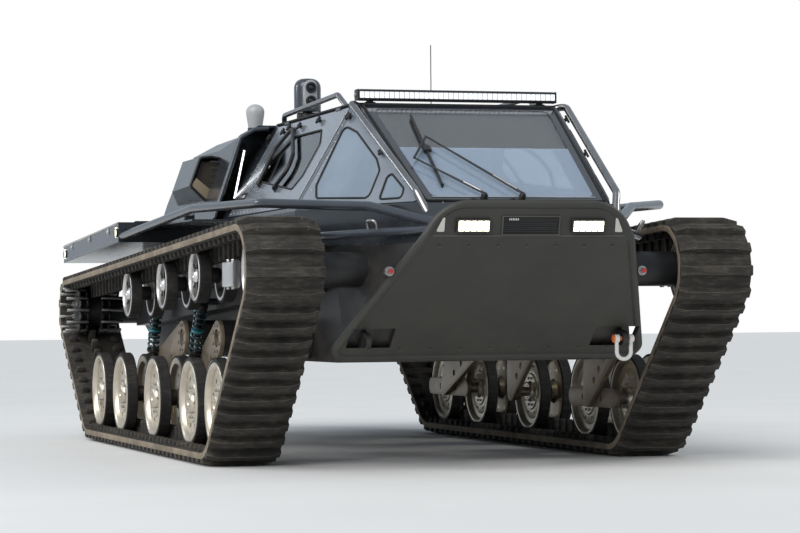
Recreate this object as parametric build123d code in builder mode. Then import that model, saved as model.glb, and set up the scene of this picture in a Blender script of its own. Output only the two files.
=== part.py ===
from build123d import *
import math
import os

os.makedirs("parts", exist_ok=True)

# All sizes are in millimetres. The vehicle faces -Y, its left is +X and it stands on Z = 0.
# Stations run rearward from the foot of the windscreen pillars, and at() gives the Y of one.

# Ends of the whole vehicle
rim_radius = 20.0
shield_thickness = 28.0
shield_top_station = -158.0
nose_station = shield_top_station + shield_thickness / 2 - rim_radius
tail_station = 5350.0
mid_station = (nose_station + tail_station) / 2


def at(station):
    return station - mid_station


def corner_point(half, station, height):
    return Vector(half, at(station), height)


def facing(points, outward):
    # A plane through three points whose normal leans towards a direction
    normal = (points[1] - points[0]).cross(points[2] - points[0]).normalized()
    if normal.dot(outward) < 0:
        normal = -normal
    return Plane(origin=points[0], z_dir=normal)


def on_plane(plane, points):
    # Points of space as flat coordinates of a plane
    flat = []
    for point in points:
        spot = plane.to_local_coords(point)
        flat.append((spot.X, spot.Y))
    return flat


def mirrored(point):
    return Vector(-point.X, point.Y, point.Z)


def plate_faces(upper, lower):
    # Four corners of a symmetric flat between two levels, and its outward plane
    a = corner_point(*upper)
    b = corner_point(*lower)
    corners = [mirrored(a), a, b, mirrored(b)]
    return facing(corners, Vector(0, -1, 0)), corners


def mirror_plane(plane):
    return Plane(origin=mirrored(plane.origin), z_dir=mirrored(plane.z_dir))


def flats_across(edges):
    # Planes across the vehicle through each pair of neighbouring (station, height) edges
    planes = []
    for (front, high), (rear, low) in zip(edges[:-1], edges[1:]):
        a = Vector(0, at(front), high)
        b = Vector(0, at(rear), low)
        c = Vector(half_width, at(front), high)
        planes.append(facing([a, b, c], Vector(0, 0, 1)))
    return planes


def tube(path, radius, bend):
    # A round bar along a path of (x, station, height) corners, with tangent bends
    points = [corner_point(*corner) for corner in path]
    with BuildPart() as bar:
        with BuildLine() as run:
            FilletPolyline(*points, radius=bend)
        with BuildSketch(Plane(origin=run.line @ 0, z_dir=run.line % 0)):
            Circle(radius)
        sweep(path=run.line)
    return bar.part


# Cylinders and boxes that grow from their place along its direction
from_start = (Align.CENTER, Align.CENTER, Align.MIN)


# Tracks: a rubber belt on each side, with a lug across its outside at every pitch and a guide
# horn inside it at every second one
half_width = 1250.0
belt_width = 371.5
belt_thickness = 32.0
belt_seat = 0.6
lug_height = 34.0
lug_base = 54.0
lug_top = 38.0
lug_pitch = 101.6
horn_height = 84.0
horn_base = 58.0
horn_tip = 24.0
horn_width = 40.0
horn_root = 12.0
horn_step = 2
belt_inner_x = half_width - belt_width

# Wheels inside the belt: each is a pair of discs with the guide horns running between them
wheel_centre_x = 1079.0
wheel_gap = 70.0
disc_width = 63.0
pair_half = wheel_gap / 2 + disc_width
road_radius = 227.7
road_stations = (1201.0, 1793.0, 2704.0, 3612.0, 4278.0)
road_height = lug_height + belt_thickness + belt_seat + road_radius
roller_radius = 138.0
roller_stations = (1627.0, 2429.0, 3378.0)
idler_station = 430.0
idler_height = 945.0
idler_radius = 182.0
sprocket_station = 5040.0
sprocket_height = 780.0
sprocket_radius = 156.0
sprocket_teeth = 11
hub_radius = 48.0
hub_rod = 28.8
hub_face = 62.4
hub_root = 72.0
hub_neck = 57.6
back_dish = 0.6
running_fit = 0.3

# Hull: a tub between the tracks and a wider deck box on top of it
tub_half = 720.0
tub_wall = 30.0
tub_front = 90.0
floor_height = 508.0
tub_top = 1060.0
deck_top = 1240.0
deck_wall = 30.0
deck_front_half = 440.0
bay_wall_station = 2520.0
bay_wall = 40.0
tail_face_station = 5180.0
tail_rise_station = 4650.0
tail_rise_height = 700.0

# Nose shield: an upright band over a panel that slopes down and back
shield_top_half = 410.0
shield_top_height = 1228.0
shield_break_station = -118.0
shield_break_half = 500.0
shield_band_height = 152.0
shield_break_height = shield_top_height - shield_band_height
shield_toe_station = 500.0
shield_toe_half = 782.0
shield_toe_height = 536.0
shield_corner_radius = 190.0
shield_break_radius = 120.0
shield_toe_radius = 60.0

# Cab: side walls lean in from the deck to the roof
cab_wall = 40.0
roof_height = 1770.0
roof_half = 515.0
cab_base_half = 824.0
cab_front_half = 455.0
screen_foot_station = 40.0
screen_head_station = 930.0
quarter_foot_station = 960.0
cab_rear_station = 2500.0
glass_thickness = 8.0
glass_seat = 0.3
panel_gap = 5.0

# Rear body: its roof falls to the tail in three flats (station and height of each edge), and
# its sides close in behind the taper's station
body_rear_station = 5120.0
body_rear_height = 1270.0
body_drop = roof_height - body_rear_height
fall_edges = (
    (cab_rear_station, roof_height),
    (3650.0, roof_height - 0.11 * body_drop),
    (4450.0, roof_height - 0.54 * body_drop),
    (body_rear_station, body_rear_height),
)
taper_station = 3770.0
tail_half = 581.0

# Doors: hinged along the roof edge
door_front_station = 1010.0
door_rear_station = 2430.0
door_drop = 14.0
door_sill = 22.0
window_front = 1190.0
window_rear = 2280.0
window_top = 120.0
window_foot = 110.0


# Belt loop: straight runs between four wheels, joined by arcs round them
loop_wheels = (
    (at(idler_station), idler_height, idler_radius + belt_seat),
    (at(road_stations[0]), road_height, road_radius + belt_seat),
    (at(road_stations[-1]), road_height, road_radius + belt_seat),
    (at(sprocket_station), sprocket_height, sprocket_radius + belt_seat),
)


def run_angle(first, second):
    # Angle, in the YZ plane, of the outward normal of the run from one wheel to the next
    span_y = second[0] - first[0]
    span_z = second[1] - first[1]
    lean = math.asin((first[2] - second[2]) / math.hypot(span_y, span_z))
    return math.atan2(span_z, span_y) - math.pi / 2 + lean


run_angles = [run_angle(loop_wheels[i], loop_wheels[(i + 1) % 4]) for i in range(4)]


def rim_point(wheel, angle, out):
    # Point at a distance out from a wheel's rim, in YZ
    reach = wheel[2] + out
    return (wheel[0] + reach * math.cos(angle), wheel[1] + reach * math.sin(angle))


def loop_pieces(out):
    # Runs and arcs in order, each with its length, at a distance out from the wheels
    pieces = []
    for i in range(4):
        wheel = loop_wheels[i]
        following = loop_wheels[(i + 1) % 4]
        start = rim_point(wheel, run_angles[i], out)
        end = rim_point(following, run_angles[i], out)
        turn = (run_angles[(i + 1) % 4] - run_angles[i]) % (2 * math.pi)
        pieces.append(("run", start, end, run_angles[i], math.dist(start, end)))
        pieces.append(("arc", following, run_angles[i], turn, (following[2] + out) * turn))
    return pieces


pitch_pieces = loop_pieces(belt_thickness / 2)
pitch_length = sum(piece[4] for piece in pitch_pieces)
link_count = round(pitch_length / lug_pitch)
link_pitch = pitch_length / link_count


def loop_place(distance):
    # Point on the belt's middle line and the angle of its outward normal
    for kind, first, second, third, length in pitch_pieces:
        if distance > length:
            distance -= length
            continue
        if kind == "run":
            share = distance / length
            return (
                first[0] + share * (second[0] - first[0]),
                first[1] + share * (second[1] - first[1]),
                third,
            )
        angle = second + third * distance / length
        return (*rim_point(first, angle, belt_thickness / 2), angle)
    return (*pitch_pieces[0][1], pitch_pieces[0][3])


def link_point(link, along, out):
    # A point of one link: along the belt from the link's middle, and out from the middle line
    y, z, angle = loop_place((link + 0.5) * link_pitch)
    return (
        y + out * math.cos(angle) - along * math.sin(angle),
        z + out * math.sin(angle) + along * math.cos(angle),
    )


lug_outline = (
    (-lug_base / 2, belt_thickness / 2),
    (-lug_top / 2, belt_thickness / 2 + lug_height),
    (lug_top / 2, belt_thickness / 2 + lug_height),
    (lug_base / 2, belt_thickness / 2),
)
horn_outline = (
    (-horn_base / 2, horn_root - belt_thickness / 2),
    (horn_base / 2, horn_root - belt_thickness / 2),
    (horn_tip / 2, -belt_thickness / 2 - horn_height),
    (-horn_tip / 2, -belt_thickness / 2 - horn_height),
)

with BuildPart() as track_left:
    with BuildSketch(Plane.YZ.offset(belt_inner_x)):
        Polygon(*[link_point(k, *corner) for k in range(link_count) for corner in lug_outline], align=None)
        with BuildLine():
            for kind, first, second, third, length in loop_pieces(0.0):
                if kind == "run":
                    Line(first, second)
                else:
                    ThreePointArc(*[rim_point(first, second + third * part, 0.0) for part in (0, 0.5, 1)])
        make_face(mode=Mode.SUBTRACT)
    extrude(amount=belt_width)
    with BuildSketch(Plane.YZ.offset(wheel_centre_x - horn_width / 2)):
        for k in range(0, link_count, horn_step):
            Polygon(*[link_point(k, *corner) for corner in horn_outline], align=None)
    extrude(amount=horn_width)
    split(bisect_by=Plane.XY, keep=Keep.TOP)
track_left.part.label = "track_left"

with BuildPart() as track_right:
    mirror(track_left.part, about=Plane.YZ)
track_right.part.label = "track_right"


def across(x, station, height):
    # A plane that faces +X at a place on the left side
    return Plane(origin=(x, at(station), height), x_dir=(0, 1, 0), z_dir=(1, 0, 0))


def wheel_section(radius, rim, dish):
    # Half section of a pair of discs on a hub, as (x, radius) corners
    half = wheel_gap / 2
    back = half + back_dish * dish
    outer = (
        (half, hub_radius),
        (back, hub_neck),
        (back, radius - rim - dish),
        (half, radius - rim),
        (half, radius),
        (pair_half, radius),
        (pair_half, radius - rim),
        (pair_half - dish, radius - rim),
        (pair_half - dish, hub_root),
        (pair_half, hub_face),
        (pair_half, hub_rod),
    )
    return (*outer, *[(-x, height) for x, height in reversed(outer)])


axle_radius = hub_rod - running_fit
road_rim = 44.0
road_dish = 30.0
road_hole_radius = 17.0
road_hole_circle = 128.0
road_holes = 8
arm_x = 880.0
arm_thickness = 25.0
bogie_gap = 5.0
bogie_thickness = 25.0
axle_in = arm_x + arm_thickness + bogie_gap + bogie_thickness + running_fit

with BuildPart() as road_wheel:
    with BuildSketch(Plane.XY):
        Polygon(*wheel_section(road_radius, road_rim, road_dish), align=None)
    revolve(axis=Axis.X)
    with Locations(Plane.YZ):
        with PolarLocations(road_hole_circle, road_holes):
            Hole(road_hole_radius)

with BuildPart() as road_wheels_left:
    with Locations(*[(wheel_centre_x, at(station), road_height) for station in road_stations]):
        add(road_wheel.part)
    with Locations(*[across(axle_in, station, road_height) for station in road_stations]):
        Cylinder(hub_rod, wheel_centre_x + pair_half - axle_in, align=from_start)
road_wheels_left.part.label = "road_wheels_left"

with BuildPart() as road_wheels_right:
    mirror(road_wheels_left.part, about=Plane.YZ)
road_wheels_right.part.label = "road_wheels_right"

# Return rollers hang the top run, so their heights follow its slope
roller_rim = 24.0
roller_dish = 26.0
roller_spokes = 6
roller_window = 24.0
beam_out = 860.0
top_run = loop_pieces(0.0)[6]
top_slope = (top_run[1][1] - top_run[2][1]) / (top_run[1][0] - top_run[2][0])


def under_top_run(station, drop):
    # Height of a point that lies a distance square below the inside of the top run
    line = top_run[1][1] + top_slope * (at(station) - top_run[1][0])
    return line - drop * math.hypot(1.0, top_slope)


with BuildPart() as return_roller:
    with BuildSketch(Plane.XY):
        Polygon(*wheel_section(roller_radius, roller_rim, roller_dish), align=None)
    revolve(axis=Axis.X)
    with Locations(Plane.YZ):
        with PolarLocations((roller_radius - roller_rim + hub_root) / 2, roller_spokes):
            Hole(roller_window / 2)

with BuildPart() as return_rollers:
    for station in roller_stations:
        height = under_top_run(station, roller_radius + belt_seat)
        with Locations((wheel_centre_x, at(station), height)):
            add(return_roller.part)
        with Locations(across(beam_out, station, height)):
            Cylinder(hub_rod, wheel_centre_x + pair_half - beam_out, align=from_start)
    mirror(about=Plane.YZ)
return_rollers.part.label = "return_rollers"

# Front idlers and their stub axles, which come straight out of the tub's sides
idler_rim = 40.0
stub_radius = 84.0
stub_end = wheel_centre_x - pair_half - 12.0

with BuildPart() as front_idlers:
    with BuildSketch(Plane.XY.offset(idler_height)):
        with Locations((wheel_centre_x, at(idler_station))):
            Polygon(*wheel_section(idler_radius, idler_rim, road_dish), align=None)
    revolve(axis=Axis((0, at(idler_station), idler_height), (1, 0, 0)))
    with Locations(across(stub_end, idler_station, idler_height)):
        Cylinder(hub_rod, wheel_centre_x + pair_half - stub_end, align=from_start)
    mirror(about=Plane.YZ)
front_idlers.part.label = "front_idlers"

# Drive sprockets: a toothed ring at each edge of a drum
tooth_height = 26.0
tooth_length = 46.0
sprocket_web = 20.0

with BuildPart() as drive_sprockets:
    with BuildSketch(Plane.XY.offset(sprocket_height)):
        with Locations((wheel_centre_x, at(sprocket_station))):
            Polygon(*wheel_section(sprocket_radius, idler_rim, sprocket_web), align=None)
    revolve(axis=Axis((0, at(sprocket_station), sprocket_height), (1, 0, 0)))
    with Locations(across(stub_end, sprocket_station, sprocket_height)):
        Cylinder(hub_rod, wheel_centre_x + pair_half - stub_end, align=from_start)
    with Locations(across(wheel_centre_x, sprocket_station, sprocket_height)):
        with PolarLocations(sprocket_radius - tooth_height, sprocket_teeth):
            Box(tooth_height, tooth_length, 2 * pair_half + tooth_height, mode=Mode.SUBTRACT)
    mirror(about=Plane.YZ)
drive_sprockets.part.label = "drive_sprockets"

# Track beams: a box along each side of the tub that carries the rollers and the dampers,
# with the drums of the arms' pivots below it
beam_front = 760.0
beam_rear = 4700.0
beam_cover = 40.0
beam_height = 170.0
beam_rise = roller_radius + belt_seat - beam_cover
beam_drop = beam_rise + beam_height
damper_pin_radius = 18.0
damper_head_height = 812.0
damper_in = arm_x + arm_thickness + running_fit
# Suspension arms: pivot station, wheel end station, damper foot station, damper head station
arms = (
    (1100.0, (road_stations[0] + road_stations[1]) / 2, 1500.0, 1330.0),
    (2320.0, road_stations[2], 2725.0, 2520.0),
    (3190.0, (road_stations[3] + road_stations[4]) / 2, 3850.0, 3700.0),
)
pivot_height = 617.0
pivot_radius = 95.0
arm_end_radius = 52.0
arm_foot_radius = 36.0
arm_foot_height = 500.0
arm_hole = 22.0

with BuildPart() as track_beams:
    with BuildSketch(Plane.YZ.offset(tub_half)):
        Polygon(
            (at(beam_front), under_top_run(beam_front, beam_rise)),
            (at(beam_front), under_top_run(beam_front, beam_drop)),
            (at(beam_rear), under_top_run(beam_rear, beam_drop)),
            (at(beam_rear), under_top_run(beam_rear, beam_rise)),
            align=None,
        )
    extrude(amount=beam_out - tub_half)
    with Locations(*[across(beam_out, head, damper_head_height) for _, _, _, head in arms]):
        Cylinder(damper_pin_radius, damper_in - beam_out - running_fit, align=from_start)
    with Locations(*[across(tub_half, pivot, pivot_height) for pivot, _, _, _ in arms]):
        Cylinder(pivot_radius, arm_x - tub_half, align=from_start)
    mirror(about=Plane.YZ)
track_beams.part.label = "track_beams"

with BuildPart() as swing_arms:
    for pivot, end, foot, _ in arms:
        with BuildSketch(Plane.YZ.offset(arm_x)):
            with Locations((at(pivot), pivot_height)):
                Circle(pivot_radius)
            with Locations((at(end), road_height)):
                Circle(arm_end_radius)
            with Locations((at(foot), arm_foot_height)):
                Circle(arm_foot_radius)
            make_hull()
            with Locations(((at(pivot) * 2 + at(end)) / 3, (pivot_height * 2 + road_height) / 3)):
                Circle(arm_hole, mode=Mode.SUBTRACT)
            with Locations(((at(pivot) + at(end) * 2) / 3, (pivot_height + road_height * 2) / 3)):
                Circle(arm_hole, mode=Mode.SUBTRACT)
        extrude(amount=arm_thickness)
    # The middle arm reaches its single wheel, the outer two reach the middle of a bogie link
    with Locations(*[across(arm_x + arm_thickness, end, road_height) for _, end, _, _ in arms]):
        Cylinder(axle_radius, bogie_gap, align=from_start)
    for first, second in ((0, 1), (2, 2), (3, 4)):
        with BuildSketch(Plane.YZ.offset(arm_x + arm_thickness + bogie_gap)):
            with Locations(*[(at(road_stations[k]), road_height) for k in (first, second)]):
                Circle(arm_end_radius)
            make_hull()
        extrude(amount=bogie_thickness)
    mirror(about=Plane.YZ)
swing_arms.part.label = "swing_arms"

# Dampers: a spring round a body, with an eye at each end and a reservoir beside it
spring_radius = 32.0
spring_turns = 9
spring_lead = 1.2
spring_share = 0.45
damper_x = damper_in + spring_radius
damper_body_radius = 20.0
eye_radius = 24.0

with BuildPart() as dampers:
    for _, _, foot, head in arms:
        low = Vector(damper_x, at(foot), arm_foot_height)
        high = Vector(damper_x, at(head), damper_head_height)
        span = high - low
        with Locations(Plane(origin=low, z_dir=span)):
            Cylinder(damper_body_radius, span.length, align=from_start)
        for k in range(spring_turns):
            spot = low + span * ((k + spring_lead) / (spring_turns + 2 * spring_lead - 1))
            with Locations(Plane(origin=spot, z_dir=span)):
                Cylinder(spring_radius, spring_share * span.length / spring_turns)
        eyes = ((foot, arm_foot_height), (head, damper_head_height))
        with Locations(*[across(damper_in, station, height) for station, height in eyes]):
            Cylinder(eye_radius, 2 * spring_radius, align=from_start)
    mirror(about=Plane.YZ)
dampers.part.label = "dampers"

# Tensioners: a bracket from the beam with a box at its end
tensioner_station = 1010.0
tensioner_length = 210.0
tensioner_height = 120.0
tensioner_level = 935.0
tensioner_x = 1112.0
tensioner_width = 40.0
tensioner_arm = 60.0

with BuildPart() as tensioners:
    with Locations((tensioner_x + tensioner_width / 2, at(tensioner_station), tensioner_level)):
        Box(tensioner_width, tensioner_length, tensioner_height)
    with Locations((beam_out, at(tensioner_station), tensioner_level)):
        Box(
            tensioner_x - beam_out,
            tensioner_arm,
            tensioner_arm,
            align=(Align.MIN, Align.CENTER, Align.CENTER),
        )
    mirror(about=Plane.YZ)
tensioners.part.label = "tensioners"

# Nose lines, as (station, height); the tub's front lies against the shield's back
shield_run = math.hypot(shield_toe_station - shield_break_station, shield_break_height - shield_toe_height)
shield_shift = shield_thickness * shield_run / (shield_break_height - shield_toe_height)


def shield_station(height):
    # Station of the sloping panel's outer face at a height
    share = (shield_break_height - height) / (shield_break_height - shield_toe_height)
    return shield_break_station + share * (shield_toe_station - shield_break_station)


# Shield corners on its outer face, from the top to the toe, left side
shield_corners = (
    (shield_top_half, shield_top_station, shield_top_height),
    (shield_break_half, shield_break_station, shield_break_height),
    (shield_toe_half, shield_toe_station, shield_toe_height),
)
band_plane, band_corners = plate_faces(shield_corners[0], shield_corners[1])
slope_plane, slope_corners = plate_faces(shield_corners[1], shield_corners[2])
band_back = band_plane.offset(-shield_thickness)
slope_back = slope_plane.offset(-shield_thickness)

# The tub's front narrows to the shield's side edges
cheek_in = 45.0
cheek_station = 640.0
cheek_points = (
    (shield_break_half - cheek_in, shield_break_station, shield_break_height),
    (shield_toe_half - cheek_in, shield_toe_station, shield_toe_height),
    (tub_half, cheek_station, tub_top),
)
cheek_plane = facing([corner_point(*point) for point in cheek_points], Vector(1, 0, 0))

with BuildPart() as tub_block:
    with BuildSketch(Plane.YZ):
        Polygon(
            (at(shield_station(floor_height) + shield_shift), floor_height),
            (at(tail_rise_station), floor_height),
            (at(tail_face_station), tail_rise_height),
            (at(tail_face_station), tub_top),
            (at(shield_station(tub_top) + shield_shift), tub_top),
            align=None,
        )
    extrude(amount=tub_half, both=True)
    for plane in (cheek_plane, mirror_plane(cheek_plane), band_back):
        split(bisect_by=plane, keep=Keep.BOTTOM)
tub_form = tub_block.part

with BuildPart() as tub_hollow:
    with BuildSketch(Plane.YZ):
        Polygon(
            (at(shield_station(floor_height) + shield_shift + tub_front), floor_height + tub_wall),
            (at(bay_wall_station), floor_height + tub_wall),
            (at(bay_wall_station), tub_top),
            (at(shield_station(tub_top) + shield_shift + tub_front), tub_top),
            align=None,
        )
        Polygon(
            (at(bay_wall_station + bay_wall), floor_height + tub_wall),
            (at(tail_rise_station - tub_wall), floor_height + tub_wall),
            (at(tail_face_station - tub_wall), tail_rise_height + tub_wall),
            (at(tail_face_station - tub_wall), tub_top),
            (at(bay_wall_station + bay_wall), tub_top),
            align=None,
        )
    extrude(amount=tub_half - tub_wall, both=True)
    for plane in (cheek_plane, mirror_plane(cheek_plane), band_back):
        split(bisect_by=plane.offset(-tub_wall), keep=Keep.BOTTOM)

with BuildPart() as hull_tub:
    add(tub_form)
    add(tub_hollow.part, mode=Mode.SUBTRACT)
hull_tub.part.label = "hull_tub"

# Stub axles of the idlers and final drives, out of the tub's sides
stub_root = 560.0

with BuildPart() as stub_axles:
    with Locations(
        across(stub_root, idler_station, idler_height),
        across(stub_root, sprocket_station, sprocket_height),
    ):
        Cylinder(stub_radius, stub_end - stub_root - running_fit, align=from_start)
    mirror(about=Plane.YZ)
    add(tub_form, mode=Mode.SUBTRACT)
stub_axles.part.label = "stub_axles"

# Deck box: it widens from the nose to the cab's sides, with its front corners cut to the
# shield's outline. Behind the screen's foot it is open inside, under the cab and the rear body
deck_cut_plane = facing(
    [
        corner_point(290.0, shield_top_station, deck_top),
        corner_point(470.0, shield_top_station, deck_top - 130.0),
        corner_point(490.0, screen_foot_station, deck_top),
    ],
    Vector(1, 0, 0),
)


def deck_outline(front, rear, rear_half):
    return (
        (-deck_front_half, at(front)),
        (deck_front_half, at(front)),
        (cab_base_half, at(quarter_foot_station)),
        (cab_base_half, at(taper_station)),
        (rear_half, at(rear)),
        (-rear_half, at(rear)),
        (-cab_base_half, at(taper_station)),
        (-cab_base_half, at(quarter_foot_station)),
    )


with BuildPart() as hull_deck:
    with BuildSketch(Plane.XY.offset(tub_top)):
        Polygon(*deck_outline(shield_top_station, tail_face_station, cab_base_half), align=None)
    extrude(amount=deck_top - tub_top)
    with BuildSketch(Plane.XY.offset(tub_top)):
        Polygon(*deck_outline(screen_foot_station, body_rear_station, tail_half), align=None)
        offset(amount=-deck_wall, kind=Kind.INTERSECTION)
        with Locations((0, at(bay_wall_station + bay_wall / 2))):
            Rectangle(2 * cab_base_half, bay_wall, mode=Mode.SUBTRACT)
    extrude(amount=deck_top - tub_top, mode=Mode.SUBTRACT)
    for plane in (band_back, slope_back, deck_cut_plane, mirror_plane(deck_cut_plane)):
        split(bisect_by=plane, keep=Keep.BOTTOM)
hull_deck.part.label = "hull_deck"



def shield_plate(plane, corners, rounded, radius):
    # A plate of the shield with two of its corners rounded, picked in order of height
    with BuildPart() as plate:
        with BuildSketch(plane):
            Polygon(*on_plane(plane, corners), align=None)
        extrude(amount=-shield_thickness)
        thick_edges = plate.edges().filter_by(Axis(plane.origin, plane.z_dir)).sort_by(Axis.Z)
        fillet(thick_edges[rounded], radius)
    return plate.part


band_plate = shield_plate(band_plane, band_corners, slice(2, 4), shield_corner_radius)
slope_plate = shield_plate(slope_plane, slope_corners, slice(0, 2), shield_toe_radius)

# Path of the rolled rim round the left half, as (x, station, height)
rim_path = [(half, station + shield_thickness / 2, height) for half, station, height in shield_corners]
rim_path = [(0.0, *rim_path[0][1:]), *rim_path, (0.0, *rim_path[-1][1:])]

# Pockets through the shield's lower corners, for the towing eyes
pocket_low = 578.0
pocket_high = 668.0
pocket_in = 500.0
pocket_out = 716.0
pocket_depth = 300.0

with BuildPart() as nose_shield:
    add(tube(rim_path, rim_radius, (shield_corner_radius, shield_break_radius, shield_toe_radius)))
    mirror(about=Plane.YZ)
    add(band_plate)
    add(slope_plate)
    with Locations(
        ((pocket_in + pocket_out) / 2, at(shield_station(pocket_low)), (pocket_low + pocket_high) / 2),
        (-(pocket_in + pocket_out) / 2, at(shield_station(pocket_low)), (pocket_low + pocket_high) / 2),
    ):
        Box(pocket_out - pocket_in, pocket_depth, pocket_high - pocket_low, mode=Mode.SUBTRACT)
    add(hull_tub.part, mode=Mode.SUBTRACT)
    add(hull_deck.part, mode=Mode.SUBTRACT)
nose_shield.part.label = "nose_shield"

# Cab and rear body as one closed outer form, cut by its flats
screen_foot = corner_point(cab_front_half, screen_foot_station, deck_top)
screen_head = corner_point(roof_half, screen_head_station, roof_height)
quarter_foot = corner_point(cab_base_half, quarter_foot_station, deck_top)
side_foot = corner_point(cab_base_half, cab_rear_station, deck_top)
side_head = corner_point(roof_half, cab_rear_station, roof_height)
screen_plane = facing([mirrored(screen_foot), screen_foot, screen_head], Vector(0, -1, 0))
quarter_plane = facing([screen_foot, screen_head, quarter_foot], Vector(1, 0, 0))
side_plane = Plane(
    origin=side_foot,
    x_dir=(0, 1, 0),
    z_dir=(side_head - side_foot).cross(Vector(0, 1, 0)),
)
if side_plane.z_dir.X < 0:
    side_plane = Plane(origin=side_foot, x_dir=(0, 1, 0), z_dir=-side_plane.z_dir)
taper_corners = [
    corner_point(cab_base_half, taper_station, deck_top),
    corner_point(roof_half, taper_station, roof_height),
    corner_point(tail_half, body_rear_station, deck_top),
]
taper_plane = facing(taper_corners, Vector(1, 0, 0))
fall_planes = flats_across(fall_edges)


def trimmed_block(front, rear, low, high, planes, inset):
    # A block across the vehicle, cut back to the inside of some planes
    with BuildPart() as block:
        with Locations((0, at((front + rear) / 2), (low + high) / 2)):
            Box(2 * half_width, rear - front, high - low)
        for plane in planes:
            split(bisect_by=plane.offset(-inset), keep=Keep.BOTTOM)
    return block.part


side_planes = (side_plane, mirror_plane(side_plane))
cab_planes = (screen_plane, quarter_plane, mirror_plane(quarter_plane), *side_planes)
body_sides = (*side_planes, taper_plane, mirror_plane(taper_plane))
body_planes = (*body_sides, *fall_planes)
cab_outer = trimmed_block(screen_foot_station, cab_rear_station, deck_top, roof_height, cab_planes, 0)
cab_inner = trimmed_block(
    screen_foot_station, cab_rear_station - cab_wall, deck_top, roof_height - cab_wall, cab_planes, cab_wall
)
body_outer = trimmed_block(cab_rear_station, body_rear_station, deck_top, roof_height, body_planes, 0)
body_inner = trimmed_block(
    cab_rear_station + cab_wall, body_rear_station - cab_wall, deck_top, roof_height, body_planes, cab_wall
)

# Side plane coordinates: x along the station, y up the slope
slope_up = (side_head - side_foot).normalized()
slope_sign = 1.0 if side_plane.y_dir.dot(slope_up) > 0 else -1.0
slope_length = (side_head - side_foot).length


def side_rectangle(front, rear, low, high):
    # Corners of a rectangle on the left side plane; low and high run up the slope
    return [
        (at(front) - side_foot.Y, slope_sign * low),
        (at(rear) - side_foot.Y, slope_sign * low),
        (at(rear) - side_foot.Y, slope_sign * high),
        (at(front) - side_foot.Y, slope_sign * high),
    ]


door_low = door_sill
door_high = slope_length - door_drop
door_hole = side_rectangle(door_front_station, door_rear_station, door_low, door_high)
door_leaf = side_rectangle(
    door_front_station + panel_gap,
    door_rear_station - panel_gap,
    door_low + panel_gap,
    door_high - panel_gap,
)
door_window = side_rectangle(window_front, window_rear, window_foot, slope_length - window_top)
door_pane = side_rectangle(
    window_front + glass_seat,
    window_rear - glass_seat,
    window_foot + glass_seat,
    slope_length - window_top - glass_seat,
)
window_corner = 45.0
screen_frame = 42.0
quarter_frame = 62.0
through = 3 * cab_wall


def screen_sketch(inset):
    # The windscreen's opening, or the pane in it, on the screen plane
    corners = [mirrored(screen_foot), screen_foot, screen_head, mirrored(screen_head)]
    with BuildSketch(screen_plane) as pane:
        Polygon(*on_plane(screen_plane, corners), align=None)
        offset(amount=-inset, kind=Kind.INTERSECTION)
    return pane.sketch


def quarter_sketch(inset):
    with BuildSketch(quarter_plane) as pane:
        Polygon(*on_plane(quarter_plane, [screen_foot, screen_head, quarter_foot]), align=None)
        offset(amount=-inset, kind=Kind.INTERSECTION)
    return pane.sketch


def side_sketch(corners, corner_radius):
    with BuildSketch(side_plane) as pane:
        Polygon(*corners, align=None)
        if corner_radius:
            fillet(pane.vertices(), corner_radius)
    return pane.sketch


with BuildPart() as cab_shell:
    add(cab_outer)
    add(cab_inner, mode=Mode.SUBTRACT)
    extrude(screen_sketch(screen_frame), amount=through, both=True, mode=Mode.SUBTRACT)

with BuildPart() as cab_cuts:
    extrude(quarter_sketch(quarter_frame), amount=through, both=True)
    extrude(side_sketch(door_hole, 0), amount=through, both=True)
    mirror(about=Plane.YZ)

# Hinges: a pin through a middle knuckle on the leaf and an outer knuckle on each side of it.
# Their axes run along the outer edge of the panel gap, so a leaf swings clear of its frame
hinge_radius = 11.0
hinge_pin_radius = 5.0
hinge_leaf_length = 36.0
hinge_side_length = 22.0
hinge_fit = 0.3
hinge_clearance = 1.0
door_hinge_stations = (door_front_station + 200.0, door_rear_station - 200.0)


def knuckle(plane, radius, start, length):
    # A round bar along a hinge's axis, from a distance ahead of the hinge's middle
    with BuildPart(plane.offset(start)) as bar:
        Cylinder(radius, length, align=from_start)
    return bar.part


def frame_knuckles(planes):
    # Outer knuckles and pins, which belong to the frame
    half = hinge_leaf_length / 2 + hinge_clearance
    reach = half + hinge_side_length
    with BuildPart() as bars:
        for plane in planes:
            add(knuckle(plane, hinge_radius, half, hinge_side_length))
            add(knuckle(plane, hinge_radius, -reach, hinge_side_length))
            add(knuckle(plane, hinge_pin_radius, -reach, 2 * reach))
    return bars.part


def leaf_knuckles(planes):
    # Middle knuckles, which belong to the leaf
    with BuildPart() as bars:
        for plane in planes:
            add(knuckle(plane, hinge_radius, -hinge_leaf_length / 2, hinge_leaf_length))
            bore = knuckle(plane, hinge_pin_radius + hinge_fit, -hinge_leaf_length, 2 * hinge_leaf_length)
            add(bore, mode=Mode.SUBTRACT)
    return bars.part


def knuckle_room(planes, start, length):
    # Room round knuckles of the other side
    with BuildPart() as room:
        for plane in planes:
            add(knuckle(plane, hinge_radius + hinge_clearance, start, length))
    return room.part


def frame_cut(planes):
    half = hinge_leaf_length / 2 + hinge_clearance
    return knuckle_room(planes, -half, 2 * half)


def leaf_cut(planes):
    reach = hinge_leaf_length / 2 + 2 * hinge_clearance + hinge_side_length
    with BuildPart() as room:
        add(knuckle_room(planes, -reach, 2 * reach))
        add(knuckle_room(planes, -hinge_leaf_length / 2, hinge_leaf_length), mode=Mode.SUBTRACT)
        for plane in planes:
            add(knuckle(plane, hinge_pin_radius + hinge_fit, -reach, 2 * reach))
    return room.part


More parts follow.
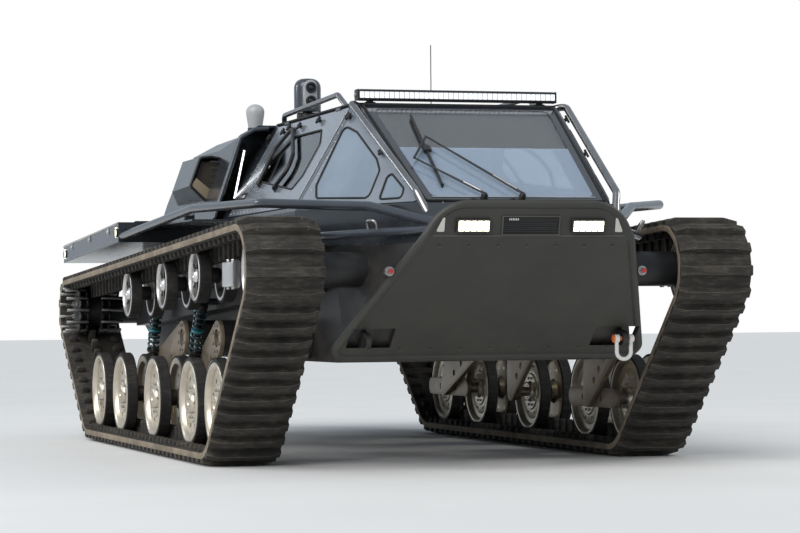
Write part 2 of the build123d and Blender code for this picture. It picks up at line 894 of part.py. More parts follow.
door_axis = side_foot + slope_up * (door_high - panel_gap / 2)
door_hinges = [
    Plane(origin=(door_axis.X, at(station), door_axis.Z), z_dir=(0, 1, 0))
    for station in door_hinge_stations
]

with BuildPart() as cab_frame:
    add(cab_shell.part)
    add(cab_cuts.part, mode=Mode.SUBTRACT)
    add(frame_cut(door_hinges), mode=Mode.SUBTRACT)
    add(frame_cut([mirror_plane(plane) for plane in door_hinges]), mode=Mode.SUBTRACT)
    add(frame_knuckles(door_hinges))
    add(frame_knuckles([mirror_plane(plane) for plane in door_hinges]))
cab_frame.part.label = "cab_frame"

with BuildPart() as cab_glass:
    extrude(quarter_sketch(quarter_frame + glass_seat), amount=-glass_thickness)
    mirror(about=Plane.YZ)
    extrude(screen_sketch(screen_frame + glass_seat), amount=-glass_thickness)
cab_glass.part.label = "cab_glass"

with BuildPart() as door_left:
    add(cab_shell.part)
    extrude(side_sketch(door_leaf, 0), amount=through, both=True, mode=Mode.INTERSECT)
    extrude(side_sketch(door_window, window_corner), amount=through, both=True, mode=Mode.SUBTRACT)
    add(leaf_cut(door_hinges), mode=Mode.SUBTRACT)
    add(leaf_knuckles(door_hinges))
door_left.part.label = "door_left"

with BuildPart() as door_right:
    mirror(door_left.part, about=Plane.YZ)
door_right.part.label = "door_right"

with BuildPart() as door_glass_left:
    extrude(side_sketch(door_pane, window_corner), amount=-glass_thickness)
door_glass_left.part.label = "door_glass_left"

with BuildPart() as door_glass_right:
    mirror(door_glass_left.part, about=Plane.YZ)
door_glass_right.part.label = "door_glass_right"

# Rear body shell, with the engine cover cut out of its middle flat
cover_half = 470.0
cover_front = fall_edges[1][0] + 30.0
cover_rear = fall_edges[2][0] - 30.0


def cover_point(x, station):
    # A point of the rear body's middle flat
    (front, high), (rear, low) = fall_edges[1:3]
    return Vector(x, at(station), high + (low - high) * (station - front) / (rear - front))


def cover_block(gap):
    corners = [
        cover_point(-cover_half, cover_front),
        cover_point(cover_half, cover_front),
        cover_point(cover_half, cover_rear),
        cover_point(-cover_half, cover_rear),
    ]
    with BuildPart() as block:
        with BuildSketch(fall_planes[1]):
            Polygon(*on_plane(fall_planes[1], corners), align=None)
            if gap:
                offset(amount=-gap, kind=Kind.INTERSECTION)
        extrude(amount=2 * cab_wall, both=True)
    return block.part


cover_hole = cover_block(0.0)
cover_leaf = cover_block(panel_gap)

with BuildPart() as body_shell:
    add(body_outer)
    add(body_inner, mode=Mode.SUBTRACT)

cover_hinge_x = 300.0
cover_hinges = [
    Plane(origin=cover_point(x, cover_front + panel_gap / 2), z_dir=(1, 0, 0))
    for x in (-cover_hinge_x, cover_hinge_x)
]

with BuildPart() as rear_body:
    add(body_shell.part)
    add(cover_hole, mode=Mode.SUBTRACT)
    add(frame_cut(cover_hinges), mode=Mode.SUBTRACT)
    add(frame_knuckles(cover_hinges))
rear_body.part.label = "rear_body"

with BuildPart() as engine_cover:
    add(body_shell.part)
    add(cover_leaf, mode=Mode.INTERSECT)
    add(leaf_cut(cover_hinges), mode=Mode.SUBTRACT)
    add(leaf_knuckles(cover_hinges))
engine_cover.part.label = "engine_cover"

# Outer edge of the fender boxes, which the side rails run to
box_out = half_width - 25.0

# Rails: bent tubes over the tracks, beside the cab, along the roof and up the pillars
rail_radius = 23.0
lower_rail_radius = 19.0
pillar_tube_radius = 18.0
roof_rail_radius = 14.0
rail_bend = 140.0
small_bend = 60.0

# Corners of each tube's path on the left side, as (x, station, height)
rail_path = (
    (440.0, -95.0, 1150.0),
    (650.0, 273.0, 1236.0),
    (box_out - 195.0, 830.0, 1273.0),
    (box_out - 105.0, 1890.0, 1289.0),
    (box_out - 25.0, 3383.0, 1193.0),
)
lower_rail_path = (
    (465.0, -85.0, 1118.0),
    (800.0, 542.0, 1106.0),
    (818.0, 1100.0, 1104.0),
)
pillar_path = (
    (457.0, -25.0, 1191.0),
    (490.0, 45.0, 1296.0),
    (556.0, 893.0, 1764.0),
    (440.0, 1000.0, 1737.0),
)
roof_rail_path = (
    (490.0, 1130.0, 1740.0),
    (508.0, 1300.0, 1838.0),
    (508.0, 2380.0, 1812.0),
    (490.0, 2440.0, 1740.0),
)


with BuildPart() as side_rails:
    add(tube(rail_path, rail_radius, rail_bend))
    add(tube(lower_rail_path, lower_rail_radius, rail_bend))
    mirror(about=Plane.YZ)
    add(nose_shield.part, mode=Mode.SUBTRACT)
    add(hull_deck.part, mode=Mode.SUBTRACT)
side_rails.part.label = "side_rails"

with BuildPart() as pillar_tubes:
    add(tube(pillar_path, pillar_tube_radius, small_bend))
    mirror(about=Plane.YZ)
    add(cab_outer, mode=Mode.SUBTRACT)
    add(hull_deck.part, mode=Mode.SUBTRACT)
    add(nose_shield.part, mode=Mode.SUBTRACT)
pillar_tubes.part.label = "pillar_tubes"

with BuildPart() as roof_rails:
    add(tube(roof_rail_path, roof_rail_radius, small_bend))
    mirror(about=Plane.YZ)
    add(cab_outer, mode=Mode.SUBTRACT)
roof_rails.part.label = "roof_rails"

# Fender boxes over the rear half of each track, with a thin step plate ahead of them
box_front = 3383.0
box_rear = 5190.0
box_low_front = 1158.0
box_low_rear = 1078.0
box_high_front = 1272.0
box_high_rear = 1188.0
step_front = 1950.0
step_top = 1236.0
step_thickness = 8.0
step_out = box_out - 110.0

with BuildPart() as fender_boxes:
    with BuildSketch(Plane.YZ.offset(cab_base_half)):
        Polygon(
            (at(box_front), box_low_front),
            (at(box_rear), box_low_rear),
            (at(box_rear), box_high_rear),
            (at(box_front), box_high_front),
            align=None,
        )
    extrude(amount=box_out - cab_base_half)
    with BuildSketch(Plane.XY.offset(step_top - step_thickness)):
        Polygon(
            (cab_base_half, at(step_front)),
            (step_out, at(step_front)),
            (box_out - 2 * rail_radius, at(box_front)),
            (cab_base_half, at(box_front)),
            align=None,
        )
    extrude(amount=step_thickness)
    mirror(about=Plane.YZ)
    add(side_rails.part, mode=Mode.SUBTRACT)
fender_boxes.part.label = "fender_boxes"

# Marker lamps: two on the outside of each fender box, and the tail lamps on the tub's rear face
marker_length = 60.0
marker_height = 30.0
marker_depth = 6.0
marker_inset = 60.0

tail_lamp_x = 600.0
tail_lamp_height = 960.0
tail_lamp_size = (150.0, 14.0, 60.0)

with BuildPart() as marker_lamps:
    with Locations((tail_lamp_x, at(tail_face_station), tail_lamp_height)):
        Box(*tail_lamp_size, align=(Align.CENTER, Align.MIN, Align.CENTER))
    for station, height in (
        (box_front + marker_inset, (box_low_front + box_high_front) / 2),
        (box_rear - marker_inset, (box_low_rear + box_high_rear) / 2),
    ):
        with BuildSketch(across(box_out, station, height)):
            SlotOverall(marker_length, marker_height, rotation=90)
        extrude(amount=marker_depth)
    mirror(about=Plane.YZ)
marker_lamps.part.label = "marker_lamps"

# Haunches: a skin that stands out from the body's side behind each door and is open at its
# front, with an intake pod on its outside
scoop_wall = 12.0
scoop_overlap = 1.0
haunch_front = 2525.0
haunch_step = 2950.0
haunch_rear = 3950.0
haunch_room_rear = 2880.0
haunch_foot_half = 874.0
shoulder_half = 714.0
shoulder_height = 1709.0
shoulder_low_half = 732.0
shoulder_low_height = 1656.0
shoulder_run = 100.0
shoulder_rise = 60.0
# Flats of the haunch's rear end, as (station, height) of their edges
haunch_edges = ((3600.0, 1668.0), (3915.0, 1496.0), (haunch_rear, 1400.0))

flank_plane = facing(
    [
        corner_point(haunch_foot_half, haunch_front, deck_top),
        corner_point(haunch_foot_half, haunch_rear, deck_top),
        corner_point(shoulder_half, haunch_front, shoulder_height),
    ],
    Vector(1, 0, 0),
)
front_shoulder_plane = facing(
    [
        corner_point(shoulder_half, haunch_front, shoulder_height),
        corner_point(shoulder_low_half, haunch_step, shoulder_low_height),
        corner_point(shoulder_half - shoulder_run, haunch_front, shoulder_height + shoulder_rise),
    ],
    Vector(0, 0, 1),
)
rear_shoulder_plane = facing(
    [
        corner_point(shoulder_low_half, haunch_step, shoulder_low_height),
        corner_point(shoulder_low_half, haunch_rear, shoulder_low_height),
        corner_point(shoulder_low_half - shoulder_run, haunch_step, shoulder_low_height + shoulder_rise),
    ],
    Vector(0, 0, 1),
)


def haunch_planes(shoulder_plane):
    sides = (flank_plane, mirror_plane(flank_plane), shoulder_plane, mirror_plane(shoulder_plane))
    return (*sides, *fall_planes)


front_haunch = trimmed_block(
    haunch_front, haunch_step, deck_top, roof_height, haunch_planes(front_shoulder_plane), 0
)
rear_haunch = trimmed_block(
    haunch_step,
    haunch_rear,
    deck_top,
    roof_height,
    (*haunch_planes(rear_shoulder_plane), *flats_across(haunch_edges)),
    0,
)
haunch_room = trimmed_block(
    haunch_front - scoop_overlap,
    haunch_room_rear,
    deck_top + scoop_wall,
    roof_height - scoop_wall,
    haunch_planes(front_shoulder_plane),
    scoop_wall,
)

with BuildPart() as haunches:
    add(front_haunch)
    add(rear_haunch)

# Left pod: its mouth's outline as (x, height), and the stations where its outside bends and ends
pod_front = 2900.0
pod_bend = 3400.0
pod_rear = 3620.0
pod_room_rear = 3250.0
pod_half = 919.0
pod_level = 1456.0
pod_top_half = 861.0
pod_top_level = 1616.0
pod_bend_in = 14.0
pod_rear_in = 119.0
pod_outline = (
    (690.0, 1320.6),
    (760.0, 1320.6),
    (855.0, 1398.0),
    (pod_half, pod_level),
    (pod_top_half, pod_top_level),
    (794.0, 1624.0),
    (690.0, 1606.0),
)
pod_planes = (
    facing(
        [
            corner_point(pod_half, pod_front, pod_level),
            corner_point(pod_top_half, pod_front, pod_top_level),
            corner_point(pod_half - pod_bend_in, pod_bend, pod_level),
        ],
        Vector(1, 0, 0),
    ),
    facing(
        [
            corner_point(pod_half - pod_bend_in, pod_bend, pod_level),
            corner_point(pod_top_half - pod_bend_in, pod_bend, pod_top_level),
            corner_point(pod_half - pod_rear_in, pod_rear, pod_level),
        ],
        Vector(1, 0, 0),
    ),
)


def pod_block(front, rear, inset):
    with BuildPart() as block:
        with BuildSketch(Plane.XZ.offset(-at(front))):
            Polygon(*pod_outline, align=None)
            if inset:
                offset(amount=-inset, kind=Kind.INTERSECTION)
        extrude(amount=front - rear)
        for plane in pod_planes:
            split(bisect_by=plane.offset(-inset), keep=Keep.BOTTOM)
        mirror(about=Plane.YZ)
    return block.part


pod_form = pod_block(pod_front, pod_rear, 0.0)
pod_inside = pod_block(pod_front - scoop_overlap, pod_room_rear, scoop_wall)

with BuildPart() as pod_room:
    add(pod_inside)
    add(haunches.part, mode=Mode.SUBTRACT)

with BuildPart() as side_scoops:
    add(pod_form)
    add(pod_room.part, mode=Mode.SUBTRACT)
    add(haunches.part)
    add(haunch_room, mode=Mode.SUBTRACT)
    add(body_outer, mode=Mode.SUBTRACT)
    add(fender_boxes.part, mode=Mode.SUBTRACT)
side_scoops.part.label = "side_scoops"

# Light bar across the roof's front edge
bar_half = 517.0
bar_depth = 60.0
bar_height = 56.0
bar_station = 945.0
bar_level = 1808.0
bar_lens_depth = 6.0
bar_lens_border = 9.0
bar_foot = 34.0
bar_foot_x = 440.0
bar_round = 10.0

with BuildPart() as light_bar:
    with Locations((0, at(bar_station), bar_level)):
        Box(2 * bar_half, bar_depth, bar_height)
    fillet(light_bar.edges().filter_by(Axis.X), bar_round)
    with Locations((bar_foot_x, at(bar_station) + bar_foot / 2, roof_height)):
        Box(
            bar_foot,
            bar_foot,
            bar_level - roof_height,
            align=from_start,
        )
    mirror(about=Plane.YZ)
    add(cab_outer, mode=Mode.SUBTRACT)
light_bar.part.label = "light_bar"

with BuildPart() as bar_lens:
    with Locations((0, at(bar_station) - bar_depth / 2, bar_level)):
        Box(
            2 * (bar_half - bar_lens_border),
            bar_lens_depth,
            bar_height - 2 * bar_lens_border,
            align=(Align.CENTER, Align.MAX, Align.CENTER),
        )
bar_lens.part.label = "bar_lens"

# Nose lamps and grille, on the face of the shield's upright band
band_run = math.hypot(shield_break_station - shield_top_station, shield_top_height - shield_break_height)
lamp_share = 0.62
band_mid = shield_top_height - lamp_share * (shield_top_height - shield_break_height)
lamp_x = 277.0
lamp_width = 165.0
lamp_height = 0.42 * band_run
lamp_depth = 18.0
lamp_round = 5.0
grille_width = 280.0
grille_height = 0.585 * band_run
grille_frame = 9.0
grille_bars = 3
grille_bar = 7.0


def band_place(x, height):
    # Flat coordinates on the band of a point of its face
    share = (shield_top_height - height) / (shield_top_height - shield_break_height)
    station = shield_top_station + share * (shield_break_station - shield_top_station)
    return on_plane(band_plane, [Vector(x, at(station), height)])[0]


band_turn = 0.0 if abs(band_plane.x_dir.X) > 0.7 else 90.0

with BuildPart() as nose_lamps:
    with BuildSketch(band_plane):
        with Locations(band_place(lamp_x, band_mid), band_place(-lamp_x, band_mid)):
            Rectangle(lamp_width, lamp_height, rotation=band_turn)
    extrude(amount=lamp_depth)
    fillet(nose_lamps.edges().group_by(SortBy.LENGTH)[0], lamp_round)
    add(nose_shield.part, mode=Mode.SUBTRACT)
nose_lamps.part.label = "nose_lamps"

with BuildPart() as nose_grille:
    with BuildSketch(band_plane):
        with Locations(band_place(0, band_mid)):
            Rectangle(grille_width, grille_height, rotation=band_turn)
            Rectangle(
                grille_width - 2 * grille_frame,
                grille_height - 2 * grille_frame,
                rotation=band_turn,
                mode=Mode.SUBTRACT,
            )
        for k in range(grille_bars):
            rise = (k - (grille_bars - 1) / 2) * grille_height / (grille_bars + 1)
            with Locations(band_place(0, band_mid + rise)):
                Rectangle(grille_width - grille_frame, grille_bar, rotation=band_turn)
    extrude(amount=grille_frame)
    add(nose_shield.part, mode=Mode.SUBTRACT)
nose_grille.part.label = "nose_grille"

# Towing eyes: a plate through a pocket near each lower corner of the shield, one with a shackle
eye_x = 640.0
eye_thickness = 25.0
eye_station = 352.0
eye_height = 612.0
tow_eye_radius = 34.0
tow_hole_radius = 13.0
shackle_bar = 10.0
shackle_pin = 11.0
shackle_half = 36.0
shackle_leg = 62.0
shackle_boss_radius = 20.0
shackle_boss_width = 24.0
shackle_pin_end = 7.0
shackle_level = eye_height - (tow_hole_radius - shackle_pin - glass_seat)
eye_root_back = 230.0
eye_root_rise = 20.0
eye_root_radius = 48.0

with BuildPart() as towing_eyes:
    with BuildSketch(Plane.YZ.offset(eye_x - eye_thickness / 2)):
        with Locations((at(eye_station), eye_height)):
            Circle(tow_eye_radius)
        with Locations((at(eye_station + eye_root_back), eye_height + eye_root_rise)):
            Circle(eye_root_radius)
        make_hull()
        with Locations((at(eye_station), eye_height)):
            Circle(tow_hole_radius, mode=Mode.SUBTRACT)
    extrude(amount=eye_thickness)
    mirror(about=Plane.YZ)
    add(tub_form, mode=Mode.SUBTRACT)
towing_eyes.part.label = "towing_eyes"

with BuildPart() as shackle:
    with BuildLine(Plane.XZ.offset(-at(eye_station))) as bow:
        Line(
            (eye_x - shackle_half, shackle_level),
            (eye_x - shackle_half, shackle_level - shackle_leg),
        )
        ThreePointArc(
            (eye_x - shackle_half, shackle_level - shackle_leg),
            (eye_x, shackle_level - shackle_leg - shackle_half),
            (eye_x + shackle_half, shackle_level - shackle_leg),
        )
        Line(
            (eye_x + shackle_half, shackle_level - shackle_leg),
            (eye_x + shackle_half, shackle_level),
        )
    with BuildSketch(Plane(origin=bow.line @ 0, z_dir=bow.line % 0)):
        Circle(shackle_bar)
    sweep(path=bow.line)
    with Locations(
        across(eye_x - shackle_half, eye_station, shackle_level),
        across(eye_x + shackle_half, eye_station, shackle_level),
    ):
        Cylinder(shackle_boss_radius, shackle_boss_width)
    with Locations(across(eye_x, eye_station, shackle_level)):
        Cylinder(shackle_pin, 2 * shackle_half + shackle_boss_width + 2 * shackle_pin_end)
shackle.part.label = "shackle"

# Hitch receiver at the tail, a square tube with a cross pin's holes
hitch_height = 800.0
hitch_size = 76.0
hitch_bore = 51.0
hitch_pin_radius = 8.0
hitch_pin_station = tail_station - 45.0
hitch_flange = 150.0
hitch_plate = 12.0

with BuildPart() as tow_hitch:
    with Locations((0, at(tail_face_station), hitch_height)):
        Box(hitch_flange, hitch_plate, hitch_flange, align=(Align.CENTER, Align.MIN, Align.CENTER))
        Box(
            hitch_size,
            tail_station - tail_face_station,
            hitch_size,
            align=(Align.CENTER, Align.MIN, Align.CENTER),
        )
    with Locations((0, at(tail_station), hitch_height)):
        Box(
            hitch_bore,
            tail_station - tail_face_station - hitch_plate,
            hitch_bore,
            align=(Align.CENTER, Align.MAX, Align.CENTER),
            mode=Mode.SUBTRACT,
        )
    with Locations(across(-hitch_size, hitch_pin_station, hitch_height)):
        Cylinder(
            hitch_pin_radius,
            2 * hitch_size,
            align=from_start,
            mode=Mode.SUBTRACT,
        )
tow_hitch.part.label = "tow_hitch"

# Roof fittings: a camera that pans on a base, a snorkel pipe and a whip antenna
camera_x = -300.0
camera_station = 2671.0
camera_base_top = 1850.0
camera_base_radius = 60.0
camera_spigot_radius = 28.0
camera_gap = 5.0
camera_radius = 74.0
camera_top = 2040.0
camera_round = 45.0
camera_root = 60.0
camera_lens_radius = 30.0
camera_lens_heights = (1912.0, 1986.0)
camera_lens_reach = 92.0
snorkel_x = -400.0
snorkel_station = 3472.0
snorkel_radius = 54.0
snorkel_top = 1960.0
snorkel_bend = 70.0
snorkel_root = 160.0
antenna_x = 140.0
antenna_station = 1800.0
antenna_top = 2150.0
antenna_radius = 2.5
antenna_foot_radius = 15.0
antenna_foot = 24.0

with BuildPart() as camera_base:
    with Locations((camera_x, at(camera_station), roof_height - camera_root)):
        Cylinder(camera_base_radius, camera_base_top - roof_height + camera_root, align=from_start)
    with Locations((camera_x, at(camera_station), camera_base_top)):
        Cylinder(camera_spigot_radius, camera_gap - running_fit, align=from_start)
    add(body_outer, mode=Mode.SUBTRACT)
camera_base.part.label = "camera_base"

with BuildPart() as camera_head:
    with Locations((camera_x, at(camera_station), camera_base_top + camera_gap)):
        Cylinder(camera_radius, camera_top - camera_base_top - camera_gap, align=from_start)
    fillet(camera_head.edges().sort_by(Axis.Z)[-1], camera_round)
    with Locations(
        *[
            Plane(origin=(camera_x, at(camera_station), height), z_dir=(0, -1, 0))
            for height in camera_lens_heights
        ]
    ):
        Cylinder(camera_lens_radius, camera_lens_reach, align=from_start)
camera_head.part.label = "camera_head"

with BuildPart() as snorkel:
    add(
        tube(
            (
                (snorkel_x, snorkel_station, roof_height - snorkel_root),
                (snorkel_x, snorkel_station, snorkel_top - snorkel_radius),
                (snorkel_x, snorkel_station + 2 * snorkel_bend, snorkel_top - snorkel_radius),
            ),
            snorkel_radius,
            snorkel_bend,
        )
    )
    add(body_outer, mode=Mode.SUBTRACT)
snorkel.part.label = "snorkel"

with BuildPart() as antenna:
    with Locations((antenna_x, at(antenna_station), roof_height)):
        Cylinder(antenna_foot_radius, antenna_foot, align=from_start)
        Cylinder(antenna_radius, antenna_top - roof_height, align=from_start)
antenna.part.label = "antenna"

# Inside the cab: dash, steering wheel and two seats
dash_front = 620.0
dash_rear = 800.0
dash_low = 960.0
dash_high = 1215.0
dash_half = 668.0
dash_chamfer = 60.0
dash_lip = 40.0
wheel_x = 320.0
wheel_station = 1000.0
wheel_height = 1150.0
wheel_ring = 165.0
wheel_rim = 15.0
wheel_tilt = 25.0
column_radius = 21.0
column_length = 300.0
seat_x = 320.0
seat_width = 500.0
seat_front = 1380.0
seat_rear = 1900.0
seat_height = 900.0
seat_back_top = 1600.0
seat_back_rear = 2090.0
seat_thickness = 140.0
seat_sag = 20.0
seat_top_share = 0.6
seat_plinth_inset = 60.0
seat_plinth_overlap = 5.0
seat_floor = floor_height + tub_wall

with BuildPart() as dashboard:
    with BuildSketch(Plane.YZ):
        Polygon(
            (at(dash_front), dash_high - dash_chamfer),
            (at(dash_front), dash_low),
            (at(dash_rear), dash_low + dash_chamfer),
            (at(dash_rear), dash_high - dash_lip),
            (at(dash_rear - dash_chamfer), dash_high),
            align=None,
        )
    extrude(amount=dash_half, both=True)
    add(hull_deck.part, mode=Mode.SUBTRACT)
    add(hull_tub.part, mode=Mode.SUBTRACT)
dashboard.part.label = "dashboard"

with BuildPart() as steering_wheel:
    axis_out = Vector(0, math.cos(math.radians(wheel_tilt)), math.sin(math.radians(wheel_tilt)))
    hub = Vector(wheel_x, at(wheel_station), wheel_height)
    with Locations(Plane(origin=hub, x_dir=(1, 0, 0), z_dir=axis_out)):
        Torus(wheel_ring, wheel_rim)
        Box(2 * wheel_ring, 2 * wheel_rim, wheel_rim)
        Cylinder(2 * wheel_rim, 2 * wheel_rim)
    with Locations(Plane(origin=hub, z_dir=-axis_out)):
        Cylinder(column_radius, column_length, align=from_start)
    add(dashboard.part, mode=Mode.SUBTRACT)
steering_wheel.part.label = "steering_wheel"

with BuildPart() as seats:
    with BuildSketch(Plane.YZ.offset(seat_x - seat_width / 2)):
        Polygon(
            (at(seat_front), seat_height - seat_thickness),
            (at(seat_front), seat_height),
            (at(seat_rear), seat_height - seat_sag),
            (at(seat_back_rear - seat_top_share * seat_thickness), seat_back_top),
            (at(seat_back_rear), seat_back_top),
            (at(seat_rear + seat_thickness), seat_height - seat_thickness),
            align=None,
        )
        Polygon(
            (at(seat_front + seat_plinth_inset), seat_floor),
            (at(seat_rear), seat_floor),
            (at(seat_rear), seat_height - seat_thickness + seat_plinth_overlap),
            (at(seat_front + seat_plinth_inset), seat_height - seat_thickness + seat_plinth_overlap),
            align=None,
        )
    extrude(amount=seat_width)
    mirror(about=Plane.YZ)
seats.part.label = "seats"

# Engine, as one plain block on the tub's floor behind the cab
engine_station = 3900.0
engine_size = (780.0, 1150.0, 560.0)

with BuildPart() as engine_block:
    with Locations((0, at(engine_station), floor_height + tub_wall)):
        Box(*engine_size, align=from_start)
engine_block.part.label = "engine_block"

# Wipers: each has a pair of thin arms from the cowl to a blade on the screen
wiper_arm = 7.0
wiper_lift = 17.0
wiper_foot = 20.0
wiper_blade = (15.0, 16.0)
screen_up = screen_head - screen_foot
screen_up = Vector(0, screen_up.Y, screen_up.Z).normalized()


def screen_point(x, rise, lift):
    # A point over the screen: across, up its slope and off its face
    foot = Vector(x, at(screen_foot_station), deck_top)
    return foot + screen_up * rise + screen_plane.z_dir * lift


# Columns: pivot x, arm end x and arm end rise
wiper_arms = ((60.0, -245.0, 300.0), (-75.0, -300.0, 150.0))
# Ends of the blade, as x and rise
blade_low = (-140.0, 60.0)
blade_high = (-330.0, 470.0)

with BuildPart() as wipers:
    for pivot, end, rise in wiper_arms:
        start = screen_point(pivot, wiper_foot, wiper_lift)
        finish = screen_point(end, rise, wiper_lift)
        span = finish - start
        with Locations(Plane(origin=start, z_dir=span)):
            Cylinder(wiper_arm, span.length, align=from_start)
        with Locations(Plane(origin=screen_point(pivot, wiper_foot, 0.0), z_dir=screen_plane.z_dir)):
            Cylinder(2 * wiper_arm, wiper_lift + 2 * wiper_arm, align=from_start)
    blade_lift = wiper_blade[0] / 2 + glass_seat
    start = screen_point(*blade_low, blade_lift)
    span = screen_point(*blade_high, blade_lift) - start
    with Locations(Plane(origin=start, z_dir=span, x_dir=screen_plane.z_dir)):
        Box(*wiper_blade, span.length, align=from_start)
wipers.part.label = "wipers"

pieces = [
    track_left,
    track_right,
    road_wheels_left,
    road_wheels_right,
    return_rollers,
    front_idlers,
    stub_axles,
    drive_sprockets,
    track_beams,
    swing_arms,
    dampers,
    tensioners,
    hull_tub,
    hull_deck,
    nose_shield,
    cab_frame,
    cab_glass,
    door_left,
    door_right,
    door_glass_left,
    door_glass_right,
    rear_body,
    engine_cover,
    side_rails,
    pillar_tubes,
    roof_rails,
    fender_boxes,
    marker_lamps,
    side_scoops,
    light_bar,
    bar_lens,
    nose_lamps,
    nose_grille,
    towing_eyes,
    shackle,
    tow_hitch,
    camera_base,
    camera_head,
    snorkel,
    antenna,
    dashboard,
    steering_wheel,
    seats,
    engine_block,
    wipers,
]
for piece in pieces:
    export_step(piece.part, f"parts/{piece.part.label}.step")
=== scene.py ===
import math

import bpy
from mathutils import Matrix, Vector


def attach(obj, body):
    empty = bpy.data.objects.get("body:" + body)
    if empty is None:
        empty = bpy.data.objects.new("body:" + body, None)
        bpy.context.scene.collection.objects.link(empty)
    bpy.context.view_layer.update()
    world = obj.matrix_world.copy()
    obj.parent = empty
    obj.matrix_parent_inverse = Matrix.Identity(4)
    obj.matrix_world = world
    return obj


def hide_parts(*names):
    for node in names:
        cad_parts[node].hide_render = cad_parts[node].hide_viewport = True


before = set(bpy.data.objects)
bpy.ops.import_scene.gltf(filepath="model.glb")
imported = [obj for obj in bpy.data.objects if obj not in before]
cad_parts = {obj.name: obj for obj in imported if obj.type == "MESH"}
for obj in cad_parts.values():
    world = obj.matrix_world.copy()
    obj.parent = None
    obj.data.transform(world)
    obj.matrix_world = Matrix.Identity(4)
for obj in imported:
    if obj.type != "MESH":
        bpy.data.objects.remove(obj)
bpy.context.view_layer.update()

# Frame: metres, +Z up, the vehicle faces -Y and its left is +X.
# Stations run rearward from the windscreen's foot, and back() gives the Y of one.
midStation = 2.593
origin = (0, 0, 0)
xAxis, yAxis, zAxis = Vector((1, 0, 0)), Vector((0, 1, 0)), Vector((0, 0, 1))
mirror = Matrix.Diagonal((-1, 1, 1, 1))
fullTurn = 2 * math.pi
smoothAngle = math.radians(32)
axisGap = 0.0004  # radius at which a lathe piece ends on its axis


def back(station):
    return station - midStation


def report(words):
    print("scene:", words)


# Modelling helpers

def calm():
    # out of edit mode, nothing selected
    if bpy.context.mode != "OBJECT":
        bpy.ops.object.mode_set(mode="OBJECT")
    bpy.ops.object.select_all(action="DESELECT")


def pick(obj):
    calm()
    obj.select_set(True)
    bpy.context.view_layer.objects.active = obj
    return obj


def named(obj, name):
    obj.name = name
    obj.data.name = name
    return obj


def settle(obj):
    # moves the object's place into its mesh
    pick(obj)
    bpy.ops.object.transform_apply(location=True, rotation=True, scale=True)
    return obj


def modify(obj, kind, **settings):
    pick(obj)
    modifier = obj.modifiers.new(kind, kind)
    for key, value in settings.items():
        setattr(modifier, key, value)
    bpy.ops.object.modifier_apply(modifier=modifier.name)
    return obj


def soften(obj, width, segments=2, angle=30, **settings):
    return modify(
        obj, "BEVEL", width=width, segments=segments, limit_method="ANGLE",
        angle_limit=math.radians(angle), **settings,
    )


def smooth(obj, angle=smoothAngle):
    pick(obj)
    bpy.ops.object.shade_smooth_by_angle(angle=angle)
    return obj


def outward(obj):
    # merges doubles and turns every face outwards
    pick(obj)
    bpy.ops.object.mode_set(mode="EDIT")
    bpy.ops.mesh.select_all(action="SELECT")
    bpy.ops.mesh.remove_doubles(threshold=0.00002)
    bpy.ops.mesh.normals_make_consistent(inside=False)
    bpy.ops.object.mode_set(mode="OBJECT")
    return obj


def tapered(obj, way, scale, bevel):
    # scales the end that faces up (way 1) or down (way -1), then softens the edges
    pick(obj)
    bpy.ops.object.mode_set(mode="EDIT")
    bpy.ops.mesh.select_mode(type="FACE")
    bpy.ops.mesh.select_all(action="DESELECT")
    bpy.ops.object.mode_set(mode="OBJECT")
    for face in obj.data.polygons:
        face.select = face.normal.z * way > 0.9
    bpy.ops.object.mode_set(mode="EDIT")
    bpy.ops.transform.resize(value=scale)
    bpy.ops.object.mode_set(mode="OBJECT")
    return soften(obj, bevel)


def facingTurn(direction):
    return Vector(direction).to_track_quat("Z", "Y")


def block(centre, size, bevel=0.0, segments=2, turn=origin):
    calm()
    bpy.ops.mesh.primitive_cube_add(size=1, location=centre, rotation=turn, scale=size)
    obj = settle(bpy.context.object)
    return soften(obj, bevel, segments) if bevel else obj


def drum(centre, direction, radius, depth, sides=32, bevel=0.0, segments=2):
    calm()
    turn = facingTurn(direction).to_euler()
    bpy.ops.mesh.primitive_cylinder_add(
        vertices=sides, radius=radius, depth=depth, location=centre, rotation=turn
    )
    obj = settle(bpy.context.object)
    return smooth(soften(obj, bevel, segments) if bevel else obj)


def ball(centre, radius, squeeze=(1, 1, 1), segments=24):
    calm()
    bpy.ops.mesh.primitive_uv_sphere_add(
        segments=segments, ring_count=segments // 2, radius=radius, location=centre, scale=squeeze
    )
    return smooth(settle(bpy.context.object))


def outline(points):
    # a closed chain of edges, drawn corner by corner; the caller is left in edit mode
    calm()
    bpy.ops.mesh.primitive_plane_add(size=0.001, location=points[0])
    obj = settle(bpy.context.object)
    bpy.ops.object.mode_set(mode="EDIT")
    bpy.ops.mesh.select_mode(type="VERT")
    bpy.ops.mesh.select_all(action="SELECT")
    bpy.ops.mesh.merge(type="CENTER")
    for start, end in zip(points, [*points[1:], points[0]]):
        step = Vector(end) - Vector(start)
        bpy.ops.mesh.extrude_region_move(TRANSFORM_OT_translate={"value": step})
    bpy.ops.mesh.select_all(action="SELECT")
    bpy.ops.mesh.remove_doubles(threshold=0.00001)
    bpy.ops.mesh.select_all(action="SELECT")
    return obj


def slab(points, depth, bevel=0.0, segments=2):
    # a flat plate from its corners, with the thickness given as a vector
    obj = outline(points)
    bpy.ops.mesh.edge_face_add()
    bpy.ops.mesh.extrude_region_move(TRANSFORM_OT_translate={"value": Vector(depth)})
    bpy.ops.mesh.select_all(action="SELECT")
    bpy.ops.mesh.normals_make_consistent(inside=False)
    bpy.ops.object.mode_set(mode="OBJECT")
    return smooth(soften(obj, bevel, segments) if bevel else obj)


